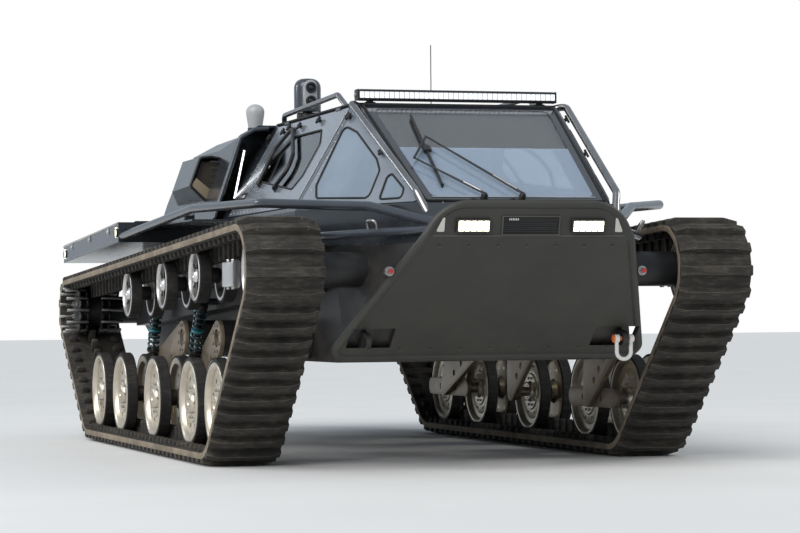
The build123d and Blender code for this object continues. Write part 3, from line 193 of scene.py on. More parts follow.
def turned(profile, centre=origin, direction=xAxis, steps=48):
    # a lathe piece: profile is (along the axis, radius) corners, radius 0 where it ends on the axis
    obj = outline([(max(radius, axisGap), 0, along) for along, radius in profile])
    bpy.ops.mesh.spin(steps=steps, angle=fullTurn, center=origin, axis=(0, 0, 1), use_auto_merge=True)
    bpy.ops.object.mode_set(mode="OBJECT")
    outward(obj)
    obj.data.transform(Matrix.Translation(centre) @ facingTurn(direction).to_matrix().to_4x4())
    return smooth(obj)


def circle(count, radius=1.0, shift=0.0):
    angles = [fullTurn * (k + shift) / count for k in range(count)]
    return [(radius * math.cos(angle), radius * math.sin(angle)) for angle in angles]


def rounded(points, bend, steps=6):
    # a path with its corners turned into arcs of a radius
    path = [Vector(points[0])]
    for before, corner, after in zip(points, points[1:], points[2:]):
        before, corner, after = Vector(before), Vector(corner), Vector(after)
        inward, onward = (before - corner).normalized(), (after - corner).normalized()
        half = inward.angle(onward) / 2
        longest = 0.48 * min((before - corner).length, (after - corner).length)
        reach = min(bend / math.tan(half), longest)
        hub = corner + (inward + onward).normalized() * (reach * math.tan(half)) / math.sin(half)
        first, last = corner + inward * reach - hub, corner + onward * reach - hub
        turn = first.rotation_difference(last)
        for k in range(steps + 1):
            part = turn.copy()
            part.angle = turn.angle * k / steps if turn.angle else 0.0
            path.append(hub + part @ first)
    path.append(Vector(points[-1]))
    return path


def bar(points, radius, bend=0.0, sides=6, cyclic=False):
    # a round bar or pipe along a path
    path = rounded(points, bend) if bend else [Vector(point) for point in points]
    calm()
    curve = bpy.data.curves.new("bar", "CURVE")
    curve.dimensions = "3D"
    curve.bevel_depth = radius
    curve.bevel_resolution = sides
    curve.use_fill_caps = not cyclic
    spline = curve.splines.new("POLY")
    spline.points.add(len(path) - 1)
    for spot, place in zip(spline.points, path):
        spot.co = (*place, 1)
    spline.use_cyclic_u = cyclic
    obj = bpy.data.objects.new("bar", curve)
    bpy.context.scene.collection.objects.link(obj)
    pick(obj)
    bpy.ops.object.convert(target="MESH")
    return smooth(outward(bpy.context.object))


def cutOut(obj, cutter):
    modify(obj, "BOOLEAN", operation="DIFFERENCE", solver="EXACT", object=cutter)
    bpy.data.objects.remove(cutter)
    return obj


def joined(name, objects):
    if len(objects) > 1:
        pick(objects[0])
        for obj in objects[1:]:
            obj.select_set(True)
        bpy.ops.object.join()
    return named(objects[0], name)


def moved(obj, place):
    # a copy with its own mesh, its place worked into the mesh
    twin = obj.copy()
    twin.data = obj.data.copy()
    twin.data.transform(place)
    if place.determinant() < 0:
        twin.data.flip_normals()
    bpy.context.scene.collection.objects.link(twin)
    return twin


def repeated(obj, places):
    made = [moved(obj, place) for place in places]
    bpy.data.objects.remove(obj)
    return joined("copies", made)


def at(x, y, z):
    return Matrix.Translation((x, y, z))


def paint(obj, finish):
    obj.data.materials.clear()
    obj.data.materials.append(finishes[finish])
    return obj


def fit(obj, body, slot, *nodes):
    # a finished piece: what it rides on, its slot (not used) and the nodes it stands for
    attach(obj, body)
    if nodes:
        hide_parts(*nodes)
    return obj


class Parts:
    # the painted parts of a piece, joined at the end
    def __init__(self):
        self.all = []

    def add(self, finish, *objects, place=None):
        for obj in objects:
            if place:
                obj.data.transform(place)
            self.all.append(paint(obj, finish) if finish else obj)

    def join(self, name, place=None):
        obj = joined(name, self.all)
        if place:
            obj.data.transform(place)
        self.all = [obj]
        return obj

    def joinBoth(self, name):
        # with the mirror image over the middle plane
        obj = self.join(name)
        return joined(name, [obj, moved(obj, mirror)])


# Finishes
finishes = {}


class Wire:
    # a socket of a finish; arithmetic on it adds Math nodes
    def __init__(self, finish, socket):
        self.finish = finish
        self.socket = socket

    def maths(self, operation, *values):
        return self.finish.node("ShaderNodeMath", {"operation": operation}, dict(enumerate(values)))

    def __add__(self, other):
        return self.maths("ADD", self, other)

    def __sub__(self, other):
        return self.maths("SUBTRACT", self, other)

    def __rsub__(self, other):
        return self.maths("SUBTRACT", other, self)

    def __mul__(self, other):
        return self.maths("MULTIPLY", self, other)

    __radd__ = __add__
    __rmul__ = __mul__

    def over(self, level, width):
        # 0 below a level, 1 above it, with a soft step between
        return self.finish.node(
            "ShaderNodeMapRange",
            {"interpolation_type": "SMOOTHSTEP"},
            {"Value": self, "From Min": level - width, "From Max": level + width},
        )


class Finish:
    # a material around one Principled shader, with constants on the shader's sockets
    def __init__(self, name, **constants):
        self.material = finishes[name] = bpy.data.materials.new(name)
        self.material.use_nodes = True
        self.nodes = self.material.node_tree.nodes
        self.links = self.material.node_tree.links
        self.shader = self.nodes["Principled BSDF"]
        for key, value in constants.items():
            self.shader.inputs[key.replace("_", " ")].default_value = value
        self.place = self.node("ShaderNodeTexCoord", {}, {}, "Object")

    def node(self, kind, settings, values, output=0):
        made = self.nodes.new(kind)
        for key, value in settings.items():
            setattr(made, key, value)
        for key, value in values.items():
            if isinstance(value, Wire):
                self.links.new(value.socket, made.inputs[key])
            else:
                made.inputs[key].default_value = value
        return Wire(self, made.outputs[output])

    def noise(self, scale, detail=3.0, roughness=0.55, stretch=None):
        place = self.place
        if stretch:
            place = self.node("ShaderNodeMapping", {}, {"Vector": place, "Scale": stretch}, "Vector")
        values = {"Vector": place, "Scale": scale, "Detail": detail, "Roughness": roughness}
        return self.node("ShaderNodeTexNoise", {}, values)

    def blend(self, factor, first, second):
        # mixes two colours by a factor
        return self.node("ShaderNodeMix", {"data_type": "RGBA"}, {0: factor, 6: first, 7: second}, 2)

    def send(self, key, wire):
        self.links.new(wire.socket, self.shader.inputs[key])

    def bump(self, height, strength, distance):
        values = {"Height": height, "Strength": strength, "Distance": distance}
        self.send("Normal", self.node("ShaderNodeBump", {}, values, "Normal"))


def tone(colour, factor=1.0):
    return (*[min(1.0, channel * factor) for channel in colour], 1.0)


dustTone = tone((0.33, 0.27, 0.2))


def coated(name, colour, roughness=0.35, metallic=0.0, dust=0.0, dustTop=0.9, grain=900, coat=0.0):
    # sprayed or powder coated metal: faint mottling, orange peel, dust that thickens downwards
    finish = Finish(name, Metallic=metallic, Coat_Weight=coat, Coat_Roughness=0.12)
    cloud = finish.noise(3.1, 4.0)
    base = finish.blend(cloud.over(0.5, 0.22), tone(colour, 0.88), tone(colour, 1.12))
    rough = cloud * 0.12 + (roughness - 0.06)
    if dust:
        height = finish.node("ShaderNodeSeparateXYZ", {}, {0: finish.place}, "Z")
        low = 1 - height.over(dustTop * 0.5, dustTop * 0.5)
        mask = (low * 0.75 + 0.25) * finish.noise(9.0, 6.0, 0.7).over(0.52, 0.22) * dust
        base = finish.blend(mask, base, dustTone)
        rough = rough + mask * 0.3
    finish.send("Base Color", base)
    finish.send("Roughness", rough)
    finish.bump(finish.noise(grain, 2.0), 0.12, 0.0006)


def rubber(name, colour, dust, roughness=0.78):
    finish = Finish(name, Specular_IOR_Level=0.35)
    patch = finish.noise(7.0, 5.0, 0.65)
    scuff = finish.noise(60.0, 4.0, 0.7, (0.25, 1, 1))
    base = finish.blend(patch.over(0.5, 0.25), tone(colour, 0.7), tone(colour, 1.35))
    mask = scuff.over(0.56, 0.14) * patch.over(0.45, 0.25) * dust
    finish.send("Base Color", finish.blend(mask, base, dustTone))
    finish.send("Roughness", patch * 0.2 + (roughness - 0.1))
    finish.bump(scuff * 0.6 + finish.noise(420.0, 3.0, 0.7) * 0.4, 0.35, 0.0015)


def machined(name, colour, roughness, dust=0.0, metallic=1.0):
    # bare metal with fine lines and a little dust
    finish = Finish(name, Metallic=metallic)
    lines = finish.noise(240.0, 3.0, 0.6)
    cloud = finish.noise(6.0, 4.0)
    base = finish.blend(cloud.over(0.5, 0.25), tone(colour, 0.82), tone(colour, 1.1))
    if dust:
        mask = finish.noise(14.0, 6.0, 0.7).over(0.5, 0.2) * dust
        base = finish.blend(mask, base, dustTone)
        finish.send("Metallic", metallic - mask * 0.8)
    finish.send("Base Color", base)
    finish.send("Roughness", lines * 0.2 + cloud * 0.1 + (roughness - 0.15))
    finish.bump(lines, 0.08, 0.0005)


def paintedReflection(name, colour, cover):
    # painted reflection: a thin blue sheet, partly see-through, that stands in for the sky reflected in the
    # glass
    finish = Finish(name, Roughness=0.06, Coat_Weight=0.5)
    cloud = finish.noise(1.6, 3.0)
    finish.send("Base Color", finish.blend(cloud, tone(colour, 0.85), tone(colour, 1.1)))
    finish.send("Alpha", cloud * 0.15 + (cover - 0.07))


def lit(name, colour, strength):
    shown = tone(colour)
    Finish(name, Roughness=0.3, Emission_Strength=strength, Base_Color=shown, Emission_Color=shown)


def glazing(name, tint):
    Finish(name, Roughness=0.02, IOR=1.45, Transmission_Weight=1.0, Base_Color=tone(tint))


def fabric(name, colour):
    # woven cloth: crossed sets of threads, paler where it is worn
    finish = Finish(name, Sheen_Weight=0.25, Roughness=0.85)
    values = {"Vector": finish.place, "Scale": 260.0, "Distortion": 0.4}
    threads = [finish.node("ShaderNodeTexWave", {"bands_direction": way}, values, 1) for way in "XYZ"]
    weave = threads[0] * threads[1] + threads[2] * 0.4
    base = finish.blend(weave, tone(colour, 0.6), tone(colour))
    wear = finish.noise(8.0, 4.0).over(0.5, 0.2) * 0.35
    finish.send("Base Color", finish.blend(wear, base, tone(colour, 1.5)))
    finish.bump(weave, 0.4, 0.0008)


coated("bodyGunmetal", (0.024, 0.030, 0.038), 0.26, 0.3, dust=0.08, dustTop=1.6, coat=0.5)
coated("shieldOlive", (0.031, 0.031, 0.026), 0.5, dust=0.06, dustTop=1.2, grain=1200)
coated("shieldRim", (0.060, 0.059, 0.050), 0.36, 0.1, dust=0.06, dustTop=1.2)
# painted highlight: a paler copy of the gunmetal for the cab's side skins, standing in for the bright sky they
# reflect
coated("gunmetalSkyHighlight", (0.27, 0.30, 0.345), 0.24, 0.45, dust=0.10, dustTop=1.8, coat=0.6)
coated("plateGrey", (0.36, 0.37, 0.38), 0.36, coat=0.2)
coated("lensClear", (0.50, 0.49, 0.44), 0.14, coat=0.8)
coated("skinLight", (0.20, 0.21, 0.22), 0.22, 0.6, coat=0.3)
coated("podBrown", (0.035, 0.024, 0.016), 0.5, dust=0.10, dustTop=2.0)
coated("lidTan", (0.24, 0.19, 0.13), 0.42, 0.3)
coated("hullBlack", (0.014, 0.015, 0.017), 0.42, 0.2, dust=0.28, dustTop=1.1)
coated("frameBlack", (0.012, 0.013, 0.015), 0.38, 0.2, dust=0.18)
coated("rollerBlack", (0.010, 0.010, 0.011), 0.34, 0.3, dust=0.12, dustTop=1.0)
coated("tubeGrey", (0.050, 0.058, 0.072), 0.28, 0.4, coat=0.5)
coated("springTeal", (0.020, 0.055, 0.066), 0.32, 0.3, coat=0.5)
coated("reservoirTeal", (0.06, 0.30, 0.36), 0.3, 0.5, coat=0.3)
coated("shackleWhite", (0.70, 0.69, 0.67), 0.38, coat=0.3)
coated("pinOrange", (0.72, 0.16, 0.03), 0.4)
# painted reflection: opaque blue-grey for the quarter panes, standing in for the sky seen in the glass
coated("paneReflection", (0.25, 0.31, 0.38), 0.08, 0.35, coat=0.8, grain=60)
coated("tailRed", (0.35, 0.012, 0.01), 0.2, coat=0.8)
coated("gloss", (0.012, 0.014, 0.02), 0.12, coat=0.8)
coated("trimBlack", (0.018, 0.018, 0.019), 0.6, grain=400)
coated("ironGrey", (0.09, 0.09, 0.088), 0.55, 0.5, dust=0.3, dustTop=1.0)
machined("tubeBright", (0.34, 0.335, 0.335), 0.22)
machined("railBright", (0.60, 0.56, 0.50), 0.26)
machined("wheelSilver", (0.66, 0.60, 0.50), 0.36, 0.35)
# painted light: dusty dark steel whose warm tan base colour is partly the sunlight falling on the arms
machined("armSteelSunTint", (0.30, 0.24, 0.175), 0.42, 0.5, 0.7)
machined("bareAluminium", (0.76, 0.75, 0.74), 0.34, 0.1)
machined("boltSteel", (0.42, 0.41, 0.4), 0.36)
rubber("sealRubber", (0.012, 0.012, 0.012), 0.05, 0.62)
rubber("trackRubber", (0.026, 0.024, 0.021), 0.18)
# paler rubber for lug edges: wear and dust, and a painted highlight
rubber("lugEdgeWearAndHighlight", (0.150, 0.132, 0.108), 0.6)
rubber("beltEdge", (0.19, 0.155, 0.115), 0.75, 0.85)
rubber("tyreRubber", (0.016, 0.015, 0.015), 0.12, 0.7)
paintedReflection("screenReflection", (0.40, 0.50, 0.64), 0.42)
fabric("seatCloth", (0.030, 0.031, 0.034))
fabric("seatSide", (0.085, 0.086, 0.090))
glazing("screenGlass", (0.86, 0.92, 0.97))
glazing("sideGlass", (0.30, 0.35, 0.40))
lit("lampGlow", (1.0, 0.90, 0.62), 7.0)
lit("barGlow", (0.93, 0.95, 1.0), 0.7)
lit("ledWhite", (0.92, 0.96, 1.0), 3.0)
lit("dialBlue", (0.06, 0.24, 0.42), 0.6)
lit("markerGlow", (1.0, 0.93, 0.75), 1.2)

# Finishes of the CAD nodes
nodeFinishes = {
    "bodyGunmetal": "hull_deck cab_frame door_left door_right rear_body engine_cover fender_boxes side_scoops",
    "frameBlack": "light_bar nose_grille towing_eyes tow_hitch camera_base antenna wipers"
                  " stub_axles track_beams",
    "hullBlack": "hull_tub",
    "shieldOlive": "nose_shield",
    "screenGlass": "cab_glass",
    "sideGlass": "door_glass_left door_glass_right",
    "tubeGrey": "side_rails snorkel",
    "tubeBright": "pillar_tubes roof_rails",
    "markerGlow": "marker_lamps bar_lens",
    "lampGlow": "nose_lamps",
    "shackleWhite": "shackle",
    "gloss": "camera_head",
    "trimBlack": "dashboard steering_wheel seats",
    "ironGrey": "engine_block",
    "armSteelSunTint": "swing_arms",
    "springTeal": "dampers",
    "bareAluminium": "tensioners",
    "wheelSilver": "road_wheels_left road_wheels_right",
    "rollerBlack": "return_rollers front_idlers drive_sprockets",
    "trackRubber": "track_left track_right",
}
for finishName, nodes in nodeFinishes.items():
    for node in nodes.split():
        paint(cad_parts[node], finishName)
report("finishes ready")


# Tracks: a belt with lugs outside, guide horns and drive lugs inside
track = {
    "middle": 1.06425,  # X of the belt's middle
    "hornMiddle": 1.079,
    "width": 0.3715,
    "thickness": 0.032,
    "seat": 0.0006,  # gap between wheels and belt
    "sunk": 0.002,  # how far lugs and horns reach into the belt
    "lugHeight": 0.034,
    "lugBase": 0.054,
    "lugTop": 0.038,
    "lugPitch": 0.1016,
    "endRun": 0.062,  # length of the slope at each end of a lug
    "endDrop": 0.016,
    "notch": (0.009, 0.02, 0.02),
    "hornHeight": 0.084,
    "hornBase": 0.058,
    "hornTip": 0.024,
    "hornWidth": 0.040,
    "driveLug": (0.052, 0.044, 0.032),  # across, along, height
    "driveLugInset": 0.030,  # from the belt's edge to the drive lug
    "arcStep": 0.035,
}
# Wheels inside the loop, as (Y, Z, radius): idler, first and last road wheel, sprocket
roadHeight = 0.2943
loopWheels = (
    (back(0.430), 0.945, 0.182),
    (back(1.201), roadHeight, 0.2277),
    (back(4.278), roadHeight, 0.2277),
    (back(5.040), 0.780, 0.156),
)


def runAngle(first, second):
    # outward direction of the straight run between two wheels
    spanY, spanZ = second[0] - first[0], second[1] - first[1]
    lean = math.asin((first[2] - second[2]) / math.hypot(spanY, spanZ))
    return math.atan2(spanZ, spanY) - math.pi / 2 + lean


runAngles = [runAngle(loopWheels[k], loopWheels[(k + 1) % 4]) for k in range(4)]


def rimPoint(wheel, angle, out):
    reach = wheel[2] + track["seat"] + out
    return (wheel[0] + reach * math.cos(angle), wheel[1] + reach * math.sin(angle))


def loopStretches(out):
    # straight runs and arcs in order: (kind, start or wheel, end or start angle, angle or turn, length)
    stretches = []
    for k in range(4):
        following = loopWheels[(k + 1) % 4]
        start, end = rimPoint(loopWheels[k], runAngles[k], out), rimPoint(following, runAngles[k], out)
        turn = (runAngles[(k + 1) % 4] - runAngles[k]) % fullTurn
        stretches.append(("run", start, end, runAngles[k], math.dist(start, end)))
        stretches.append(("arc", following, runAngles[k], turn, (following[2] + track["seat"] + out) * turn))
    return stretches


def loopPlace(stretches, distance, out):
    # point on the loop and the outward angle there
    for kind, first, second, third, length in stretches:
        if distance > length:
            distance -= length
            continue
        share = distance / length
        if kind == "run":
            return (*[a + share * (b - a) for a, b in zip(first, second)], third)
        angle = second + third * share
        return (*rimPoint(first, angle, out), angle)
    return (*stretches[0][1], stretches[0][3])


def makeBelt():
    # a ribbon along the loop's inside, thickened outwards
    points = []
    for kind, first, second, third, _ in loopStretches(0.0):
        if kind == "run":
            points.append(first)
        else:
            steps = max(2, round(third / (track["arcStep"] / first[2])))
            points += [rimPoint(first, second + third * k / steps, 0.0) for k in range(steps)]
    edge = track["middle"] - track["width"] / 2
    obj = outline([(edge, y, z) for y, z in points])
    bpy.ops.mesh.extrude_region_move(TRANSFORM_OT_translate={"value": (track["width"], 0, 0)})
    bpy.ops.object.mode_set(mode="OBJECT")
    modify(outward(obj), "SOLIDIFY", thickness=track["thickness"], offset=1.0)
    smooth(soften(obj, 0.004, 2, 50))
    paint(obj, "trackRubber")
    obj.data.materials.append(finishes["beltEdge"])
    for face in obj.data.polygons:
        if abs(face.normal.x) > 0.5:
            face.material_index = 1
    return obj


def makeLink():
    # one pitch, around the belt's middle line: X across, Y along, Z out
    t = track
    half, thick = t["width"] / 2, t["thickness"] / 2
    foot, top, flatEnd = thick - t["sunk"], thick + t["lugHeight"], half - t["endRun"]
    # the lug's long outline in XZ, its ends falling towards the belt's edges
    corners = (
        (-half, foot), (half, foot), (half, top - t["endDrop"]), (flatEnd, top),
        (-flatEnd, top), (-half, top - t["endDrop"]),
    )
    lug = slab([(x, -t["lugBase"] / 2, z) for x, z in corners], (0, t["lugBase"], 0))
    lean = (t["lugBase"] - t["lugTop"]) / 2 / t["lugHeight"]
    for vertex in lug.data.vertices:
        vertex.co.y -= math.copysign(lean * (vertex.co.z - foot), vertex.co.y)
    for side in (-1, 1):
        place = (side * flatEnd, -t["lugTop"] / 2 - 0.004, top)
        cutOut(lug, block(place, t["notch"], turn=(math.radians(-20), 0, side * 0.6)))
    paint(lug, "trackRubber")
    # lug edges take a paler rubber: partly wear and dust, partly a painted highlight along the edges
    lug.data.materials.append(finishes["lugEdgeWearAndHighlight"])
    soften(lug, 0.0035, 2, 25, material=1)
    base, tip, root = t["hornBase"] / 2, t["hornTip"] / 2, -thick + t["sunk"]
    end = -thick - t["hornHeight"]
    hornOutline = [(0, -base, root), (0, base, root), (0, tip, end), (0, -tip, end)]
    horn = slab(hornOutline, (t["hornWidth"], 0, 0), 0.008)
    horn.data.transform(at(t["hornMiddle"] - t["middle"] - t["hornWidth"] / 2, 0, 0))
    across, along, height = t["driveLug"]
    pieces = [lug, paint(horn, "trackRubber")]
    for side in (-1, 1):
        place = (side * (half - t["driveLugInset"] - across / 2), 0, root - height / 2)
        pieces.append(paint(tapered(block(place, t["driveLug"]), -1, (0.8, 0.5, 1), 0.005), "trackRubber"))
    return joined("link", [smooth(piece) for piece in pieces])


def makeTrack(name, node, side):
    out = track["thickness"] / 2
    stretches = loopStretches(out)
    length = sum(stretch[4] for stretch in stretches)
    count = round(length / track["lugPitch"])
    places = []
    for k in range(count):
        y, z, angle = loopPlace(stretches, (k + 0.5) * length / count, out)
        away = Vector((0, math.cos(angle), math.sin(angle)))
        turn = Matrix((xAxis, away.cross(xAxis), away)).transposed().to_4x4()
        places.append(at(track["middle"], y, z) @ turn)
    piece = joined(name, [makeBelt(), repeated(makeLink(), places)])
    if side < 0:
        piece.data.transform(mirror)
        piece.data.flip_normals()
    fit(piece, "root", "track_rubber", node)


makeTrack("track_left_belt", "track_left", 1)
makeTrack("track_right_belt", "track_right", -1)
report("tracks ready")


# Road wheels: dished discs with a bolt circle, rubber round the rim
roadWheel = {
    "stations": (1.201, 1.793, 2.704, 3.612, 4.278),
    "x": 1.079,
    "radius": 0.2277,
    "tyre": 0.013,
    "gap": 0.035,  # from the pair's middle to a disc's inner edge
    "width": 0.063,
    "dish": 0.024,
    "slots": (8, 0.128, 0.0125),  # count, circle, radius
    "bolts": (10, 0.078, 0.0075),
    "capBolts": (6, 0.034, 0.004),
    "steps": 64,
    "hub": 0.045,
    "axle": (0.026, 0.9353),  # radius, inner end
}
discHalf = roadWheel["width"] / 2


def tyreRing(rim, radius, inset, chamfer, steps=48):
    foot, edge = rim - 0.001, radius - chamfer
    profile = (
        (-discHalf + inset, foot), (-discHalf, edge), (-discHalf + chamfer, radius),
        (discHalf - chamfer, radius), (discHalf, edge), (discHalf - inset, foot),
    )
    return turned(profile, steps=steps)


def boltRing(x, count, ring, radius, depth, shift=0.0, bevel=0.001, y=0.0, z=0.0):
    # hexagon heads on a circle round the X axis
    spots = circle(count, ring, shift)
    return [drum((x, y + across, z + up), xAxis, radius, depth, 6, bevel, 1) for across, up in spots]


def wheelDisc():
    # one disc around X, its outer face at +X: metal, tyre and bolts
    w = roadWheel
    rim, face = w["radius"] - w["tyre"], discHalf - w["dish"]
    profile = (
        (-discHalf, rim - 0.03), (-discHalf, rim), (discHalf - 0.004, rim), (discHalf + 0.001, rim - 0.006),
        (discHalf + 0.001, rim - 0.018), (discHalf - 0.006, rim - 0.028), (face, rim - 0.036),
        (face - 0.004, 0.155), (face, 0.148), (face, 0.105), (face + 0.006, 0.098), (face + 0.006, 0.060),
        (face + 0.020, 0.052), (discHalf, 0.046), (discHalf, 0.026),
        (discHalf - 0.008, 0.020), (discHalf - 0.008, 0.0),
        (-discHalf, 0.0), (-discHalf, 0.05), (face - 0.014, 0.07), (face - 0.014, rim - 0.045),
    )
    disc = turned(profile, steps=w["steps"])
    count, ring, radius = w["slots"]
    cutters = [drum((0, y, z), xAxis, radius, 0.2, 16) for y, z in circle(count, ring, 0.5)]
    parts = Parts()
    parts.add("wheelSilver", smooth(cutOut(disc, joined("slots", cutters))))
    parts.add("tyreRubber", tyreRing(rim, w["radius"], 0.002, 0.005, w["steps"]))
    parts.add("boltSteel", *boltRing(face + 0.009, *w["bolts"], 0.010))
    parts.add("boltSteel", *boltRing(discHalf + 0.001, *w["capBolts"], 0.006, 0.5, 0.0008))
    return parts.join("disc")


def pairPlaces(spots):
    # an outward-facing disc outside and its mirror image inside, at each (Y, Z)
    x, offset = roadWheel["x"], roadWheel["gap"] + discHalf
    return [place for y, z in spots for place in (at(x + offset, y, z), at(x - offset, y, z) @ mirror)]


def axleBar(radius, inner, outer, y, z):
    return drum(((inner + outer) / 2, y, z), xAxis, radius, outer - inner, 32, 0.003)


def makeRoadWheels():
    w = roadWheel
    spots = [(back(station), roadHeight) for station in w["stations"]]
    parts = Parts()
    parts.add(None, repeated(wheelDisc(), pairPlaces(spots)))
    parts.add("frameBlack", *[axleBar(w["hub"], w["x"] - w["gap"], w["x"] + w["gap"], *spot) for spot in spots])
    radius, inner = w["axle"]
    parts.add("boltSteel", *[axleBar(radius, inner, w["x"], *spot) for spot in spots])
    left = parts.join("wheels_left")
    right = named(moved(left, mirror), "wheels_right")
    fit(left, "root", "wheel_silver", "road_wheels_left")
    fit(right, "root", "wheel_silver", "road_wheels_right")


makeRoadWheels()
report("road wheels ready")


# Rollers, idlers and sprockets
returnRoller = {
    "radius": 0.138, "tyre": 0.011, "rim": 0.016, "spokes": 6, "hub": 0.034, "spoke": (0.016, 0.017),
}
frontIdler = {
    "radius": 0.182, "tyre": 0.013, "rim": 0.024, "spokes": 8, "hub": 0.052, "spoke": (0.022, 0.026),
}
rollerStations = (1.627, 2.429, 3.378)
driveSprocket = {
    "teeth": 11, "toothDepth": 0.026, "plate": 0.012, "plates": (0.046, 0.090), "rodCircle": 0.136,
    "rod": 0.010, "rodEnd": 0.176, "drum": 0.098, "axle": 0.029, "bolts": (8, 0.046, 0.007),
}
stubEnd = 0.969


def underTopRun(station, drop):
    # height of a point that lies a distance square below the inside of the top run
    _, start, end, _, _ = loopStretches(0.0)[6]
    slope = (start[1] - end[1]) / (start[0] - end[0])
    return start[1] + slope * (back(station) - start[0]) - drop * math.hypot(1, slope)


def spokedDisc(wheel):
    rim, hub = wheel["radius"] - wheel["tyre"], wheel["hub"]
    inner = rim - wheel["rim"]
    ring = (
        (-discHalf, inner), (-discHalf, rim), (discHalf, rim),
        (discHalf + 0.003, rim - 0.003), (discHalf + 0.003, rim - 0.007),
        (discHalf - 0.004, rim - 0.009), (discHalf - 0.004, inner + 0.002), (discHalf - 0.012, inner),
    )
    boss = (
        (-discHalf, 0), (-discHalf, hub), (discHalf - 0.010, hub),
        (discHalf - 0.004, hub * 0.8), (discHalf + 0.004, hub * 0.72),
        (discHalf + 0.004, hub * 0.5), (discHalf - 0.004, hub * 0.42), (discHalf - 0.004, 0),
    )
    reach = inner - hub + 0.01
    spoke = block((discHalf - 0.018, 0, hub + reach / 2 - 0.006), (*wheel["spoke"], reach))
    spoke = smooth(tapered(spoke, 1, (0.7, 0.6, 1), 0.003))
    count = wheel["spokes"]
    parts = Parts()
    parts.add("tyreRubber", tyreRing(rim, wheel["radius"], 0, 0.004))
    parts.add("bareAluminium", turned(ring), turned(boss))
    turns = [Matrix.Rotation(fullTurn * k / count, 4, "X") for k in range(count)]
    parts.add("rollerBlack", repeated(spoke, turns))
    return parts.join("disc")


def makeSpokedWheels(wheel, name, inner, spots, node):
    parts = Parts()
    parts.add(None, repeated(spokedDisc(wheel), pairPlaces(spots)))
    for spot in spots:
        parts.add("boltSteel", axleBar(0.028, inner, roadWheel["x"] + roadWheel["gap"], *spot))
        parts.add("frameBlack", axleBar(0.040, 1.044, 1.114, *spot))
    fit(parts.joinBoth(name), "root", "roller_black", node)


rollerDrop = returnRoller["radius"] + track["seat"]
rollerSpots = [(back(station), underTopRun(station, rollerDrop)) for station in rollerStations]
makeSpokedWheels(returnRoller, "top_rollers", 0.86, rollerSpots, "return_rollers")
makeSpokedWheels(frontIdler, "idler_wheels", stubEnd, [loopWheels[0][:2]], "front_idlers")


def toothedPlate():
    s = driveSprocket
    tip = loopWheels[3][2]
    foot = tip - s["toothDepth"]
    corners = []
    for k in range(s["teeth"]):
        for share, radius in ((-0.30, foot), (-0.16, tip), (0.16, tip), (0.30, foot)):
            angle = fullTurn * (k + share) / s["teeth"]
            corners.append((-s["plate"] / 2, radius * math.cos(angle), radius * math.sin(angle)))
    return slab(corners, (s["plate"], 0, 0), 0.002, 1)


def makeSprockets():
    s = driveSprocket
    parts = Parts()
    plates = repeated(toothedPlate(), [at(side * x, 0, 0) for side in (-1, 1) for x in s["plates"]])
    edge = s["drum"]
    profile = ((-0.11, 0), (-0.11, 0.06), (-0.098, 0.075), (-0.098, edge))
    parts.add("rollerBlack", plates, turned((*profile, *[(-x, radius) for x, radius in profile[::-1]])))
    inner, outer = s["plates"][0] - s["plate"] / 2, s["rodEnd"]
    for y, z in circle(s["teeth"], s["rodCircle"], 0.5):
        for side in (-1, 1):
            centre = (side * (inner + outer) / 2, y, z)
            parts.add("boltSteel", drum(centre, xAxis, s["rod"], outer - inner, 12, 0.002))
    parts.add("boltSteel", *boltRing(0.112, *s["bolts"], 0.012))
    y, z, _ = loopWheels[3]
    parts.join("sprocket", at(roadWheel["x"], y, z))
    parts.add("boltSteel", axleBar(s["axle"], stubEnd, roadWheel["x"], y, z))
    fit(parts.joinBoth("sprocket_wheels"), "root", "roller_black", "drive_sprockets")


makeSprockets()
report("rollers, idlers and sprockets ready")


# Suspension: arm plates with bolted flanges, bogie links, coil-over dampers
suspension = {
    # pivot, wheel end, damper foot and damper head stations of each arm
    "arms": ((1.100, 1.497, 1.500, 1.330), (2.320, 2.704, 2.725, 2.520), (3.190, 3.945, 3.850, 3.700)),
    "x": 0.880,
    "thickness": 0.025,
    "pivot": (0.617, 0.095),  # height, radius
    "bore": 0.050,
    "flangeBolts": (8, 0.074, 0.0085),
    "endRadius": 0.052,
    "foot": (0.500, 0.036),  # height, radius
    "headZ": 0.812,
    "holes": (0.020, (0.36, 0.54, 0.72)),  # radius, shares of the arm
    "linkX": 0.910,
    "links": ((1.201, 1.793), (2.704, 2.704), (3.612, 4.278)),
    "linkRadius": 0.050,
    "linkHoles": (0.018, (0.28, 0.72)),
    "damperX": 0.9373,
    "spring": 0.030,
    "wire": 0.0062,
    "turns": 8,
    "body": 0.019,
    "reservoir": 0.021,
}


def hullOf(points):
    # corners of the tight band round some flat points
    ordered = sorted(set(points))

    def chain(sequence):
        edge = []
        for point in sequence:
            while len(edge) > 1 and (
                (edge[-1][0] - edge[-2][0]) * (point[1] - edge[-2][1])
                - (edge[-1][1] - edge[-2][1]) * (point[0] - edge[-2][0])
            ) <= 1e-9:
                edge.pop()
            edge.append(point)
        return edge[:-1]

    return chain(ordered) + chain(ordered[::-1])


def bandRound(circles):
    # the band round circles given as (u, v, radius)
    return hullOf([(u + across, v + up) for u, v, radius in circles for across, up in circle(28, radius)])


def armPlate(x, circles, holes):
    # holes are (y, z, radius)
    s = suspension
    plate = slab([(x, y, z) for y, z in bandRound(circles)], (s["thickness"], 0, 0), 0.0025)
    for y, z, radius in holes:
        cutOut(plate, drum((x, y, z), xAxis, radius, 0.2, 20))
    return smooth(plate)


